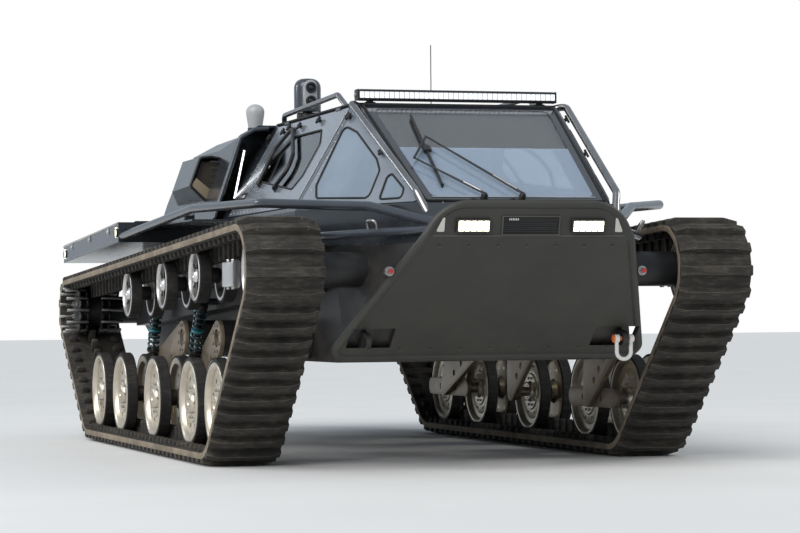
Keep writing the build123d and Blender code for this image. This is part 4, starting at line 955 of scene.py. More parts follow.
def makeArms():
    s = suspension
    parts = Parts()
    x, (pivotZ, pivotRadius) = s["x"], s["pivot"]
    cap = ((-0.01, 0), (-0.01, 0.044), (0.0, 0.044), (0.004, 0.036), (0.004, 0.016), (0.010, 0.012), (0.010, 0))
    radius, shares = s["holes"]
    for pivot, end, foot, _ in s["arms"]:
        py, ey = back(pivot), back(end)
        circles = ((py, pivotZ, pivotRadius), (ey, roadHeight, s["endRadius"]), (back(foot), *s["foot"]))
        holes = [(py + (ey - py) * t, pivotZ + (roadHeight - pivotZ) * t, radius) for t in shares]
        parts.add("armSteelSunTint", armPlate(x, circles, [*holes, (py, pivotZ, s["bore"])]))
        bolts = boltRing(x + s["thickness"] + 0.003, *s["flangeBolts"], 0.010, 0.5, y=py, z=pivotZ)
        parts.add("boltSteel", *bolts)
        parts.add("frameBlack", turned(cap, (x + 0.006, py, pivotZ)))
        parts.add("boltSteel", drum((x + 0.028, ey, roadHeight), xAxis, 0.034, 0.016, 32, 0.003))
    radius, shares = s["linkHoles"]
    for first, second in s["links"]:
        low, high = back(first), back(second)
        circles = ((low, roadHeight, s["linkRadius"]), (high, roadHeight, s["linkRadius"]))
        holes = [(low + (high - low) * t, roadHeight, radius) for t in shares] if high > low else []
        parts.add("armSteelSunTint", armPlate(s["linkX"], circles, holes))
    fit(parts.joinBoth("arm_plates"), "root", "arm_bronze", "swing_arms")


def addDamper(parts, foot, head):
    s = suspension
    low = Vector((s["damperX"], back(foot), s["foot"][0]))
    high = Vector((s["damperX"], back(head), s["headZ"]))
    span = high - low
    way = span.normalized()
    side = way.cross(xAxis).normalized()

    def spot(share, shift=0.0):
        return low + span * share + side * shift

    def tube(finish, share, radius, length, bevel, shift=0.0, slide=0.0):
        parts.add(finish, drum(spot(share, shift) + way * slide, way, radius, length, 28, bevel))

    collar = s["spring"] + 0.006
    parts.add("bareAluminium", drum(spot(0.3), way, 0.010, span.length * 0.5, 20))
    tube("frameBlack", 0.68, s["body"], span.length * 0.54, 0.002)
    tube("frameBlack", 0.93, collar, 0.05, 0.004)
    tube("reservoirTeal", 0.52, collar + 0.001, 0.010, 0.002)
    tube("frameBlack", 0.13, collar, 0.014, 0.003)
    helix = []
    steps = s["turns"] * 14
    for k in range(steps + 1):
        angle = fullTurn * s["turns"] * k / steps
        out = (xAxis * math.cos(angle) + side * math.sin(angle)) * s["spring"]
        helix.append(spot(0.14 + 0.74 * k / steps) + out)
    parts.add("springTeal", bar(helix, s["wire"], sides=3))
    profile = ((-0.030, 0.010), (-0.030, 0.022), (-0.026, 0.024),
               (0.026, 0.024), (0.030, 0.022), (0.030, 0.010))
    for place in (low, high):
        parts.add("frameBlack", turned(profile, place))
        parts.add("boltSteel", drum(place + xAxis * 0.028, xAxis, 0.013, 0.014, 6, 0.001))
    tube("bareAluminium", 0.55, s["reservoir"] - 0.003, 0.17, 0, 0.062)
    for slide in (-0.08, 0.08):
        tube("reservoirTeal", 0.55, s["reservoir"] + 0.002, 0.028, 0.004, 0.062, slide)
    parts.add("frameBlack", block(spot(0.62, 0.03), (0.02, 0.04, 0.012), 0.002))


def makeDampers():
    parts = Parts()
    for _, _, foot, head in suspension["arms"]:
        addDamper(parts, foot, head)
    fit(parts.joinBoth("coil_dampers"), "root", "damper_teal", "dampers")


# Tensioner: a bright box with a round-ended plate at its front
tensioner = {
    "middle": (1.132, back(1.010), 0.935), "size": (0.040, 0.210, 0.120), "arm": (0.860, 0.040, 0.050),
    "plate": (0.010, 0.022, 0.048),  # thickness, radius, half height
    "stud": 0.012, "studs": (0.05, 0.066),
}


def makeTensioners():
    t = tensioner
    x, y, z = t["middle"]
    inner, front = x - t["size"][0] / 2, y - t["size"][1] / 2
    parts = Parts()
    parts.add("bareAluminium", block(t["middle"], t["size"], 0.004))
    reach, wide, tall = t["arm"]
    parts.add("frameBlack", block(((reach + inner) / 2, y, z), (inner - reach, wide, tall), 0.004))
    thickness, radius, tall = t["plate"]
    corners = bandRound(((x, z + tall, radius), (x, z - tall, radius)))
    parts.add("bareAluminium", slab([(u, front - thickness, v) for u, v in corners], (0, thickness, 0), 0.002))
    alongY, alongZ = t["studs"]
    for rise in (-alongZ, alongZ):
        for shift in (-alongY, alongY):
            parts.add("boltSteel", drum((x, y + shift, z + rise), zAxis, t["stud"], 0.014, 6, 0.001))
    fit(parts.joinBoth("tensioner_boxes"), "root", "bare_aluminium", "tensioners")


makeArms()
makeDampers()
makeTensioners()
report("suspension ready")


# Flats of the body: details are modelled flat at the origin and placed on them
class Panel:
    def __init__(self, start, across, up):
        self.start = Vector(start)
        self.across = Vector(across).normalized()
        lean = Vector(up)
        self.up = (lean - self.across * lean.dot(self.across)).normalized()
        self.out = self.across.cross(self.up)
        self.axes = Matrix((self.across, self.up, self.out)).transposed().to_4x4()

    def spot(self, u, v, lift=0.0):
        return self.start + self.across * u + self.up * v + self.out * lift

    def place(self, u=0.0, v=0.0, lift=0.0):
        return Matrix.Translation(self.spot(u, v, lift)) @ self.axes

    def bar(self, points, radius, bend=0.0, sides=3):
        # a round bar through (u, v, lift) points
        return bar([self.spot(*point) for point in points], radius, bend, sides)

    def handle(self, u, v, reach, lift, radius, bend, foot=0.0):
        ends = ((u - reach, v, foot), (u - reach, v, lift), (u + reach, v, lift), (u + reach, v, foot))
        return self.bar(ends, radius, bend, 4)

    def row(self, start, end, count, lift=0.0):
        # evenly spaced places from one (u, v) to another
        shares = [k / (count - 1) for k in range(count)]
        return [self.place(*[a + (b - a) * share for a, b in zip(start, end)], lift) for share in shares]


bandPanel = Panel((0, back(-0.118), 1.076), xAxis, (0, -0.040, 0.152))
slopePanel = Panel((0, back(0.500), 0.536), xAxis, (0, -0.618, 0.540))
screenPanel = Panel((0, back(0.040), 1.240), xAxis, (0, 0.890, 0.530))
sidePanel = Panel((0.824, back(0), 1.240), yAxis, (-0.309, 0, 0.530))
quarterPanel = Panel((0.455, back(0.040), 1.240), (0.369, 0.920, 0), (0.060, 0.890, 0.530))
flankPanel = Panel((0.874, back(0), 1.240), yAxis, (-0.160, 0, 0.469))
coverPanel = Panel((0, back(3.650), 1.715), xAxis, (0, 0.800, -0.215))
roofPanel = Panel((0, back(0), 1.770), xAxis, yAxis)
tailPanel = Panel((0, back(5.180), 0), -xAxis, zAxis)


def ringPath(points, bend=0.0, lift=0.0):
    # a closed path from (u, v) corners, which bend rounds
    path = [Vector((u, v, lift)) for u, v in points]
    start = (path[0] + path[-1]) / 2
    return rounded([start, *path, start], bend, 4)[:-1] if bend else path


def rectangle(width, height):
    u, v = width / 2, height / 2
    return [(-u, -v), (u, -v), (u, v), (-u, v)]


def plate(points, thickness, bend=0.0, bevel=0.0, holes=()):
    # a flat plate from (u, v) corners, its back at Z 0; holes are (corners, bend)
    obj = slab(ringPath(points, bend), (0, 0, thickness))
    for corners, holeBend in holes:
        cutOut(obj, slab(ringPath(corners, holeBend, -0.01), (0, 0, thickness + 0.02)))
    return smooth(soften(obj, bevel, 1, 40) if bevel else obj)


def bezel(size, opening, thickness, bend, openingBend, bevel=0.0):
    return plate(rectangle(*size), thickness, bend, bevel, [(rectangle(*opening), openingBend)])


def rivets(places, radius=0.0045):
    return repeated(ball(origin, radius, (1, 1, 0.55), 10), places)


def hexBolts(places, radius=0.007, height=0.005):
    return repeated(drum((0, 0, height / 2), zAxis, radius, height, 6, 0.001, 1), places)


def latch(base, lever):
    # a plate with a lever on it
    parts = Parts()
    parts.add("boltSteel", plate(rectangle(*base[:2]), base[2], 0.006, 0.001))
    parts.add("bareAluminium", block(*lever))
    return parts.join("latch")


# Nose lamps: two rows of square cells in a bezel; the slot between them is framed
noseLamp = {"x": 0.277, "v": 0.0598, "unit": ((0.165, 0.066), 0.018, (5, 2), 0.008, "lampGlow")}
noseSlot = {"size": (0.280, 0.0912), "border": 0.006, "depth": 0.009, "blades": 4}


def ledUnit(size, depth, cells, border, glow):
    # a lit unit seen from +Z, its back at Z 0
    columns, rows = cells
    inner = (size[0] - 2 * border, size[1] - 2 * border)
    pitchU, pitchV = inner[0] / columns, inner[1] / rows
    spots = [
        at((i - (columns - 1) / 2) * pitchU, (j - (rows - 1) / 2) * pitchV, 0)
        for i in range(columns) for j in range(rows)
    ]
    lens = (pitchU * 0.84, pitchV * 0.84)
    parts = Parts()
    parts.add("frameBlack", block((0, 0, depth * 0.25), (*size, depth * 0.5), 0.003))
    parts.add("frameBlack", bezel(size, inner, depth, 0.006, 0.003, 0.0015))
    cup = bezel((pitchU * 0.98, pitchV * 0.98), lens, depth * 0.85, 0, 0.002)
    parts.add("bareAluminium", repeated(cup, spots))
    parts.add(glow, repeated(block((0, 0, depth * 0.6), (*lens, depth * 0.16), 0.0015, 1), spots))
    return parts.join("lamp")


def makeNose():
    n, s = noseLamp, noseSlot
    parts = Parts()
    for side in (-1, 1):
        parts.add(None, ledUnit(*n["unit"]), place=bandPanel.place(side * n["x"], n["v"]))
    fit(parts.join("lamp_units"), "root", "lamp_lens", "nose_lamps")
    wide, tall = [length - 2 * s["border"] for length in s["size"]]
    parts = Parts()
    parts.add("shieldRim", bezel(s["size"], (wide, tall), s["depth"], 0.004, 0.003, 0.001))
    parts.add("trimBlack", plate(rectangle(wide, tall), 0.002))
    for k in range(s["blades"]):
        rise = (k + 0.5) / s["blades"] - 0.5
        blade = block((0, rise * tall, 0.005), (wide, 0.012, 0.0015), turn=(math.radians(28), 0, 0))
        parts.add("frameBlack", blade)
    for k in range(6):
        vent = block((-0.105 + k * 0.008, 0.030, 0.0075), (0.0045, 0.010, 0.003), 0.0008, 1)
        parts.add("bareAluminium", vent)
    fit(parts.join("nose_slot", bandPanel.place(0, n["v"])), "root", "frame_black", "nose_grille")
    # seam strip along the crease, corner reflectors and bolts round the panel
    parts = Parts()
    parts.add("shieldRim", plate(rectangle(0.93, 0.010), 0.003, 0.004, 0.001), place=bandPanel.place(0, 0.012))
    for side in (-1, 1):
        corners = [(0, 0), (0.040 * side, 0), (0.012 * side, 0.060), (0, 0.070)]
        parts.add("lensClear", plate(corners, 0.004, 0.006, 0.001), place=bandPanel.place(side * 0.412, 0.030))
    spots = slopePanel.row((-0.42, 0.77), (0.42, 0.77), 7) + slopePanel.row((-0.60, 0.05), (0.60, 0.05), 9)
    parts.add("shieldRim", hexBolts(spots))
    fit(parts.join("shield_trim"), "root", "shield_olive")


# Light bar: finned case, forty cells, an arm and a knob at each end
lightBar = {
    "half": 0.517, "y": back(0.945), "z": 1.808, "depth": 0.060, "height": 0.056, "border": 0.009,
    "cells": 40, "fins": 46, "footX": 0.440, "footZ": 1.772,
}


def makeLightBar():
    b = lightBar
    half, y, z, height, border = b["half"], b["y"], b["z"], b["height"], b["border"]
    fin = block((0, y + 0.022, z), (0.004, 0.020, height - 0.006), 0.001, 1)
    span = half - 0.025
    parts = Parts()
    parts.add("frameBlack", block((0, y - 0.008, z), (2 * half - 0.02, 0.044, height), 0.008))
    finPlaces = [at(-span + 2 * span * k / (b["fins"] - 1), 0, 0) for k in range(b["fins"])]
    parts.add("frameBlack", repeated(fin, finPlaces))
    for side in (-1, 1):
        foot = side * b["footX"]
        parts.add("frameBlack", block((side * (half - 0.006), y - 0.004, z), (0.012, 0.056, height), 0.004))
        parts.add("boltSteel", drum((side * (half + 0.001), y, z), xAxis, 0.012, 0.010, 12, 0.002))
        post = block((foot, y + 0.017, (b["footZ"] + z) / 2), (0.030, 0.030, z - b["footZ"]), 0.003)
        parts.add("frameBlack", post)
        parts.add("frameBlack", block((foot, y + 0.017, b["footZ"] + 0.001), (0.05, 0.034, 0.006), 0.002))
    fit(parts.join("light_bar_case"), "root", "frame_black", "light_bar")
    cells = ledUnit((2 * (half - border), height - 2 * border), 0.006, (b["cells"], 1), 0.002, "barGlow")
    cells.data.transform(Panel((0, y - b["depth"] / 2, z), xAxis, zAxis).place())
    fit(named(cells, "light_bar_cells"), "root", "lamp_lens", "bar_lens")


# Camera: a rounded head with a pale face plate and two stacked lenses
cameraHead = {
    "x": -0.300, "y": back(2.671), "low": 1.855, "top": 2.040, "radius": 0.074, "round": 0.05,
    "faceHalf": 0.036, "lenses": (1.912, 1.986), "bolts": (8, 0.074),
}


def makeCameraHead():
    c = cameraHead
    x, y, low, top, radius, bend = [c[key] for key in ("x", "y", "low", "top", "radius", "round")]
    height = top - low
    profile = [(0, 0), (0, radius - 0.004), (0.004, radius), (height - bend, radius)]
    profile += [(height - bend + rise, radius - bend + out) for out, rise in circle(24, bend)[1:7]]
    parts = Parts()
    parts.add("tubeGrey", turned([*profile, (height, 0)], (x, y, low), zAxis))
    front = Panel((x, y - radius + 0.012, 0), xAxis, zAxis)
    wide = c["faceHalf"]
    shape = [(-wide, low + 0.014), (wide, low + 0.014), (wide, top - 0.012), (-wide, top - 0.012)]
    parts.add("plateGrey", plate(shape, 0.014, 0.034, 0.003), place=front.place())
    ring = ((0, 0.016), (0, 0.030), (0.014, 0.030), (0.018, 0.027), (0.018, 0.019), (0.010, 0.016))
    for z in c["lenses"]:
        parts.add("frameBlack", turned(ring, front.spot(0, z, 0.010), front.out, 32))
        parts.add("gloss", ball(front.spot(0, z, 0.016), 0.0185, (1, 0.45, 1)))
    fit(parts.join("camera_pod"), "camera", "frame_black", "camera_head")
    parts = Parts()
    base = ((-0.09, 0), (-0.09, 0.060), (-0.006, 0.060), (0.0, 0.054),
            (0.0, 0.028), (0.0045, 0.028), (0.0045, 0))
    flange = ((0, 0.060), (0, 0.088), (0.006, 0.086), (0.008, 0.060))
    parts.add("frameBlack", turned(base, (x, y, 1.850), zAxis, 40), turned(flange, (x, y, 1.762), zAxis, 40))
    parts.add("boltSteel", hexBolts([at(x + u, y + v, 1.769) for u, v in circle(*c["bolts"])], 0.006))
    fit(parts.join("camera_mount"), "root", "frame_black", "camera_base")


# Shackle: a bow that narrows to its pin, white with an orange pin
towShackle = {"place": (0.640, back(0.352), 0.610), "bar": 0.0098, "half": 0.036, "drop": 0.098, "wide": 0.034}


def makeShackle():
    s = towShackle
    half, wide = s["half"], s["wide"]
    shape = [(-half, 0.0), (-half, -0.030)]
    for across, up in circle(24, wide, 12)[:13]:
        shape.append((across * 1.06, -s["drop"] + wide + up))
    shape += [(half, -0.030), (half, 0.0)]
    x, y, z = s["place"]
    eye = ((-0.012, 0.0115), (-0.012, 0.018), (-0.009, 0.020), (0.009, 0.020), (0.012, 0.018), (0.012, 0.0115))
    parts = Parts()
    parts.add("shackleWhite", bar([(x + u, y, z + v) for u, v in shape], s["bar"], 0.012))
    for side in (-1, 1):
        parts.add("shackleWhite", turned(eye, (x + side * half, y, z), xAxis, 32))
    parts.add("pinOrange", drum(s["place"], xAxis, 0.0108, 0.108, 28, 0.002))
    parts.add("pinOrange", drum((x - 0.052, y, z), xAxis, 0.019, 0.010, 28, 0.003))
    fit(parts.join("tow_shackle"), "root", "shackle_white", "shackle")


makeNose()
makeLightBar()
makeCameraHead()
makeShackle()
report("nose, lamps and camera ready")


# Cab trim, left side: skins round the panes, seals, knobs and bars, all in (u, v) of their panels
cabTrim = {
    "thickness": 0.003,
    "seal": 0.0055,
    "leaf": ((1.017, 0.029), (2.423, 0.029), (2.423, 0.592), (1.017, 0.592)),
    "doorPanes": [(
        ((1.271, 0.137), (2.144, 0.235), (2.201, 0.315), (1.872, 0.489),
         (1.345, 0.489), (1.205, 0.398), (1.195, 0.211)),
        0.045,
    )],
    "doorBars": (
        ((2.049, 0.203), (2.072, 0.306), (2.125, 0.415), (1.975, 0.535)),
        ((1.624, 0.155), (1.529, 0.263), (1.604, 0.353), (1.950, 0.530)),
    ),
    "doorKnobs": ((2.179, 0.536), (2.084, 0.556), (1.851, 0.546), (1.475, 0.550)),
    "frameKnobs": ((2.462, 0.522), (2.462, 0.080)),
    "quarter": ((0.038, 0.012), (0.976, 0.012), (0.841, 0.577)),
    "quarterPanes": [
        (
            ((0.850, 0.062), (0.894, 0.134), (0.861, 0.466), (0.740, 0.422), (0.490, 0.257), (0.431, 0.193),
             (0.431, 0.045)),
            0.030,
        ),
        (((0.345, 0.034), (0.353, 0.155), (0.326, 0.170), (0.190, 0.085), (0.175, 0.034)), 0.020),
    ],
    "quarterKnobs": ((0.845, 0.510), (0.460, 0.290)),
    # lifting eye on the deck's cut corner
    "eye": (
        (0.640, back(0.170), 1.128), (0.655, back(0.140), 1.165), (0.685, back(0.190), 1.165),
        (0.670, back(0.215), 1.128),
    ),
    "coupling": (0.618, back(0.066), 0.930),
}


def addSkin(parts, place, points, bend, panes):
    # a skin with openings and a rubber seal round each of them; the skin's paint is a paler copy of the
    # gunmetal, a painted highlight where the sky reflects
    thickness = cabTrim["thickness"]
    parts.add("gunmetalSkyHighlight", plate(points, thickness, bend, 0.001, panes), place=place)
    for corners, paneBend in panes:
        path = ringPath(corners, paneBend, thickness)
        parts.add("sealRubber", bar(path, cabTrim["seal"], sides=2, cyclic=True), place=place)


def knobs(places, radius=0.019):
    # star knobs: a lobed head on a short neck
    rim = []
    for k, (u, v) in enumerate(circle(40, radius)):
        lobe = 1 + 0.16 * math.cos(5 * fullTurn * k / 40)
        rim.append((u * lobe, v * lobe))
    head = plate(rim, 0.012, 0, 0.002)
    head.data.transform(at(0, 0, 0.010))
    neck = drum((0, 0, 0.006), zAxis, radius * 0.5, 0.012, 16)
    return repeated(joined("knob", [head, neck]), places)


def doorLatch():
    # a dished escutcheon with a paddle, and a lock barrel
    parts = Parts()
    parts.add("frameBlack", bezel((0.130, 0.050), (0.108, 0.032), 0.006, 0.012, 0.008, 0.0015))
    parts.add("trimBlack", plate(rectangle(0.110, 0.034), 0.002))
    parts.add("bareAluminium", block((-0.012, 0, 0.0065), (0.074, 0.020, 0.005), 0.002))
    parts.add("boltSteel", drum((0.040, 0, 0.004), zAxis, 0.008, 0.008, 20, 0.001))
    return parts.join("latch")


def makeDoorTrim():
    t, p, thickness = cabTrim, sidePanel, cabTrim["thickness"]
    parts = Parts()
    addSkin(parts, p.place(), t["leaf"], 0.010, t["doorPanes"])
    parts.add("sealRubber", knobs([p.place(u, v, thickness) for u, v in t["doorKnobs"]]))
    for path in t["doorBars"]:
        first, last = path[0], path[-1]
        points = ((*first, 0.004), *[(u, v, 0.020) for u, v in path], (*last, 0.004))
        parts.add("frameBlack", p.bar(points, 0.011, 0.06, 4))
        for end in (first, last):
            puck = drum((0, 0, 0.003), zAxis, 0.016, 0.006, 24, 0.0015)
            parts.add("frameBlack", puck, place=p.place(*end, 0.002))
    edges = p.row((1.045, 0.046), (2.395, 0.046), 19, thickness)
    for u in (1.036, 2.404):
        edges += p.row((u, 0.090), (u, 0.560), 8, thickness)
    parts.add("boltSteel", rivets(edges))
    parts.add(None, doorLatch(), place=p.place(2.320, 0.145, thickness))
    left = parts.join("door_trim_left")
    right = named(moved(left, mirror), "door_trim_right")
    fit(left, "door_left", "body_gunmetal")
    fit(right, "door_right", "body_gunmetal")


def makeCabTrim():
    t = cabTrim
    parts = Parts()
    addSkin(parts, quarterPanel.place(0, 0, 0.0015), t["quarter"], 0.012, t["quarterPanes"])
    # painted reflection: opaque blue-grey plates over the quarter panes stand in for the sky the glass reflects
    for corners, bend in t["quarterPanes"]:
        parts.add("paneReflection", plate(corners, 0.0015, bend), place=quarterPanel.place(0, 0, 0.0008))
    parts.add("sealRubber", knobs([quarterPanel.place(*spot, 0.004) for spot in t["quarterKnobs"]]))
    parts.add("sealRubber", knobs([sidePanel.place(*spot) for spot in t["frameKnobs"]]))
    edges = quarterPanel.row((0.450, 0.026), (0.840, 0.036), 12, 0.0045)
    edges += quarterPanel.row((0.918, 0.110), (0.882, 0.470), 9, 0.0045)
    edges += sidePanel.row((0.985, 0.060), (0.985, 0.560), 9) + sidePanel.row((2.455, 0.120), (2.455, 0.480), 7)
    parts.add("boltSteel", rivets(edges))
    # drip rail above the door
    parts.add("sealRubber", bar([(0.521, back(station), 1.768) for station in (0.960, 2.480)], 0.006, sides=3))
    parts.add("boltSteel", bar(t["eye"], 0.007, 0.02, 4))
    # coupling with a red cap on the tub's front, beside the shield
    coupling = (
        (-0.036, 0), (-0.036, 0.013), (-0.016, 0.013), (-0.016, 0.022), (0.006, 0.022), (0.006, 0.016),
        (0.030, 0.016), (0.030, 0),
    )
    x, y, z = t["coupling"]
    parts.add("boltSteel", turned(coupling, t["coupling"], yAxis, 24))
    parts.add("tailRed", drum((x, y - 0.038, z), yAxis, 0.012, 0.012, 20, 0.003))
    fit(parts.joinBoth("cab_trim"), "root", "body_gunmetal")


# Windscreen: dark border, seal, trim line and a pair of pantograph wipers
screenTrim = {
    "outer": ((-0.438, 0.024), (0.438, 0.024), (0.493, 1.012), (-0.493, 1.012)),
    "inner": ((-0.398, 0.070), (0.398, 0.070), (0.449, 0.968), (-0.449, 0.968)),
    "paintedReflection": ((-0.400, 0.066), (0.400, 0.066), (0.428, 0.560), (-0.428, 0.560)),
    "shadeSheet": ((-0.455, 0.600), (0.455, 0.600), (0.478, 0.985), (-0.478, 0.985)),
    "wipers": (((0.035, 0.048), (-0.279, 0.623)), ((-0.152, 0.046), (-0.398, 0.399))),  # pivot and arm's end
    "blade": ((-0.326, 0.150), (-0.285, 0.870)),
    "clip": (-0.306, 0.511),
    "lift": 0.026,
}


def makeWindscreen():
    t, p, place, lift = screenTrim, screenPanel, screenPanel.place(), screenTrim["lift"]
    parts = Parts()
    parts.add("gloss", plate(t["outer"], 0.0015, 0.016, 0, [(t["inner"], 0.035)]), place=place)
    parts.add("sealRubber", bar(ringPath(t["outer"], 0.016, 0.003), 0.006, sides=2, cyclic=True), place=place)
    parts.add("bareAluminium", p.bar(((-0.400, 0.060, 0.003), (0.400, 0.060, 0.003)), 0.0035))
    rows = p.row((-0.44, 0.011), (0.44, 0.011), 12) + p.row((-0.47, 1.024), (0.47, 1.024), 12)
    parts.add("boltSteel", rivets(rows))
    # painted reflection: a part see-through blue sheet over the lower windscreen stands in for the sky it
    # reflects
    parts.add("screenReflection", plate(t["paintedReflection"], 0.0008), place=p.place(0, 0, 0.0004))
    # painted shade: a black sheet behind the upper windscreen stands in for the dark upper band of the glass
    parts.add("trimBlack", plate(t["shadeSheet"], 0.004, 0.010), place=p.place(0, 0, -0.030))
    fit(parts.join("screen_trim"), "root", "frame_black")
    # wipers: each arm is a tapered flat bar from its pivot's cap; a bracket carries the blade
    parts = Parts()
    cap = ((0, 0), (0, 0.018), (0.020, 0.016), (0.030, 0.010), (0.030, 0))
    for foot, end in t["wipers"]:
        parts.add("frameBlack", turned(cap, origin, zAxis, 24), place=p.place(*foot, 0.001))
        foot, end = Vector(foot), Vector(end)
        away = end - foot
        side = Vector((-away.y, away.x)).normalized()
        corners = [foot + side * 0.009, end + side * 0.005, end - side * 0.005, foot - side * 0.009]
        parts.add("frameBlack", plate(corners, 0.005, 0.004, 0.001), place=p.place(0, 0, lift))
        parts.add("boltSteel", p.bar([(*(foot + away * share), lift + 0.008) for share in (0.06, 0.30)], 0.004))
    parts.add("frameBlack", p.bar([(*end, lift + 0.003) for _, end in t["wipers"]], 0.006, sides=4))
    for rise, radius, finish in ((0.0065, 0.0045, "sealRubber"), (0.0155, 0.0065, "frameBlack")):
        parts.add(finish, p.bar([(*end, rise) for end in t["blade"]], radius))
    parts.add("frameBlack", block((0, 0, 0.021), (0.040, 0.050, 0.016), 0.003), place=p.place(*t["clip"]))
    fit(parts.join("wiper_set"), "root", "frame_black", "wipers")


# Inside: steering wheel, dash with a hood and dials, padded seats on shells
steering = {"hub": (0.320, back(1.000), 1.150), "ring": 0.163, "rim": 0.0155, "tilt": 25.0,
            "spokes": (10, 170, 270)}


def makeSteering():
    s = steering
    tilt = math.radians(s["tilt"])
    out = Vector((0, math.cos(tilt), math.sin(tilt)))
    hub = Vector(s["hub"])
    parts = Parts()
    parts.add("sealRubber", bar([(u, v, 0) for u, v in circle(48, s["ring"])], s["rim"], sides=5, cyclic=True))
    for angle in s["spokes"]:
        way = Vector((math.cos(math.radians(angle)), math.sin(math.radians(angle)), 0))
        spoke = bar((way * 0.02 - zAxis * 0.012, way * (s["ring"] - 0.006)), 0.010, sides=4)
        parts.add("bareAluminium", spoke)
    boss = ((-0.020, 0), (-0.020, 0.040), (0.006, 0.036), (0.012, 0.024), (0.012, 0))
    parts.add("trimBlack", turned(boss, origin, zAxis, 32))
    parts.join("steering", Panel(hub, xAxis, xAxis.cross(-out)).place())
    parts.add("trimBlack", drum(hub - out * 0.155, out, 0.0205, 0.290, 24, 0.002))
    parts.add("trimBlack", drum(hub - out * 0.120, out, 0.034, 0.120, 28, 0.010))
    foot = hub - out * 0.10
    for side in (-1, 1):
        parts.add("frameBlack", bar((foot, foot + xAxis * side * 0.12 + zAxis * 0.015), 0.005, sides=3))
    fit(parts.join("steering_assembly"), "root", "trim_black", "steering_wheel")


dash = {
    "y": back(0.800), "z": 1.090,
    "screens": ((-0.320, 0.300), (0.040, 0.240)),  # u, width
    "switches": (0.190, 0.026, 7),  # first u, pitch, count
    "vents": (-0.560, 0.560, 0.300),
}


def makeDash():
    y = dash["y"]
    face = Panel((0, y, dash["z"]), -xAxis, zAxis)
    parts = Parts()
    for u, width in dash["screens"]:
        opening, place = (width - 0.024, 0.096), face.place(u, 0.012)
        parts.add("trimBlack", bezel((width, 0.120), opening, 0.010, 0.014, 0.008, 0.002), place=place)
        parts.add("dialBlue", plate(rectangle(*opening), 0.004, 0.006), place=place)
    first, pitch, count = dash["switches"]
    for k in range(count):
        key = block((0, 0, 0.005), (0.016, 0.026, 0.010), 0.002)
        parts.add("frameBlack", key, place=face.place(first + k * pitch, -0.035))
    for u in dash["vents"]:
        place = face.place(u, 0.045)
        parts.add("trimBlack", bezel((0.110, 0.050), (0.096, 0.038), 0.008, 0.008, 0.005, 0.0015), place=place)
        for i in range(4):
            parts.add("frameBlack", block((0, (i - 1.5) * 0.009, 0.003), (0.096, 0.0015, 0.006)), place=place)
    rail = ((-0.600, 0.020, 0.990), (-0.600, 0.045, 1.000), (-0.180, 0.045, 1.000), (-0.180, 0.006, 0.990))
    hood = ((0.140, -0.055, 1.214), (0.150, -0.020, 1.238), (0.490, -0.020, 1.238), (0.500, -0.055, 1.214))
    parts.add("railBright", bar([(x, y + shift, z) for x, shift, z in rail], 0.012, 0.03, 5))
    parts.add("trimBlack", bar([(x, y + shift, z) for x, shift, z in hood], 0.012, 0.03, 4))
    fit(parts.join("dash_fittings"), "root", "trim_black")


seat = {
    "x": 0.320,
    "cap": 0.022,  # furthest that a point of the cover moves
    "voxel": 0.009,
    "pressure": 4.0,
    "steps": 20,
    "channels": (0.112, 0.102),  # pitch, width
    "rolls": (0.204, 0.066),  # side shift, width
    "head": ((0, 0.690, 0.0), (0.240, 0.070, 0.050), 0.016),
    "shell": ((1.385, 0.815), (1.910, 0.800), (2.040, 1.590), (2.075, 1.590), (2.000, 0.760), (1.385, 0.765)),
}


def voxels(obj):
    return modify(obj, "REMESH", mode="VOXEL", voxel_size=seat["voxel"])


def swell(obj):
    # fills a closed cover with air, no point moving further than the cap
    voxels(obj)
    scene = bpy.context.scene
    start = [vertex.co.copy() for vertex in obj.data.vertices]
    scene.frame_set(1)
    pick(obj)
    cover = obj.modifiers.new("cover", "CLOTH")
    cover.settings.quality = 5
    cover.settings.use_pressure = True
    cover.settings.uniform_pressure_force = seat["pressure"]
    cover.settings.effector_weights.gravity = 0.0
    cover.point_cache.frame_end = seat["steps"]
    for step in range(1, seat["steps"] + 1):
        scene.frame_set(step)
    bpy.ops.object.modifier_apply(modifier=cover.name)
    for vertex, place in zip(obj.data.vertices, start):
        shift = vertex.co - place
        if shift.length > seat["cap"]:
            vertex.co = place + shift * (seat["cap"] / shift.length)
    scene.frame_set(1)
    return smooth(modify(obj, "SUBSURF", levels=1, render_levels=1), math.pi)


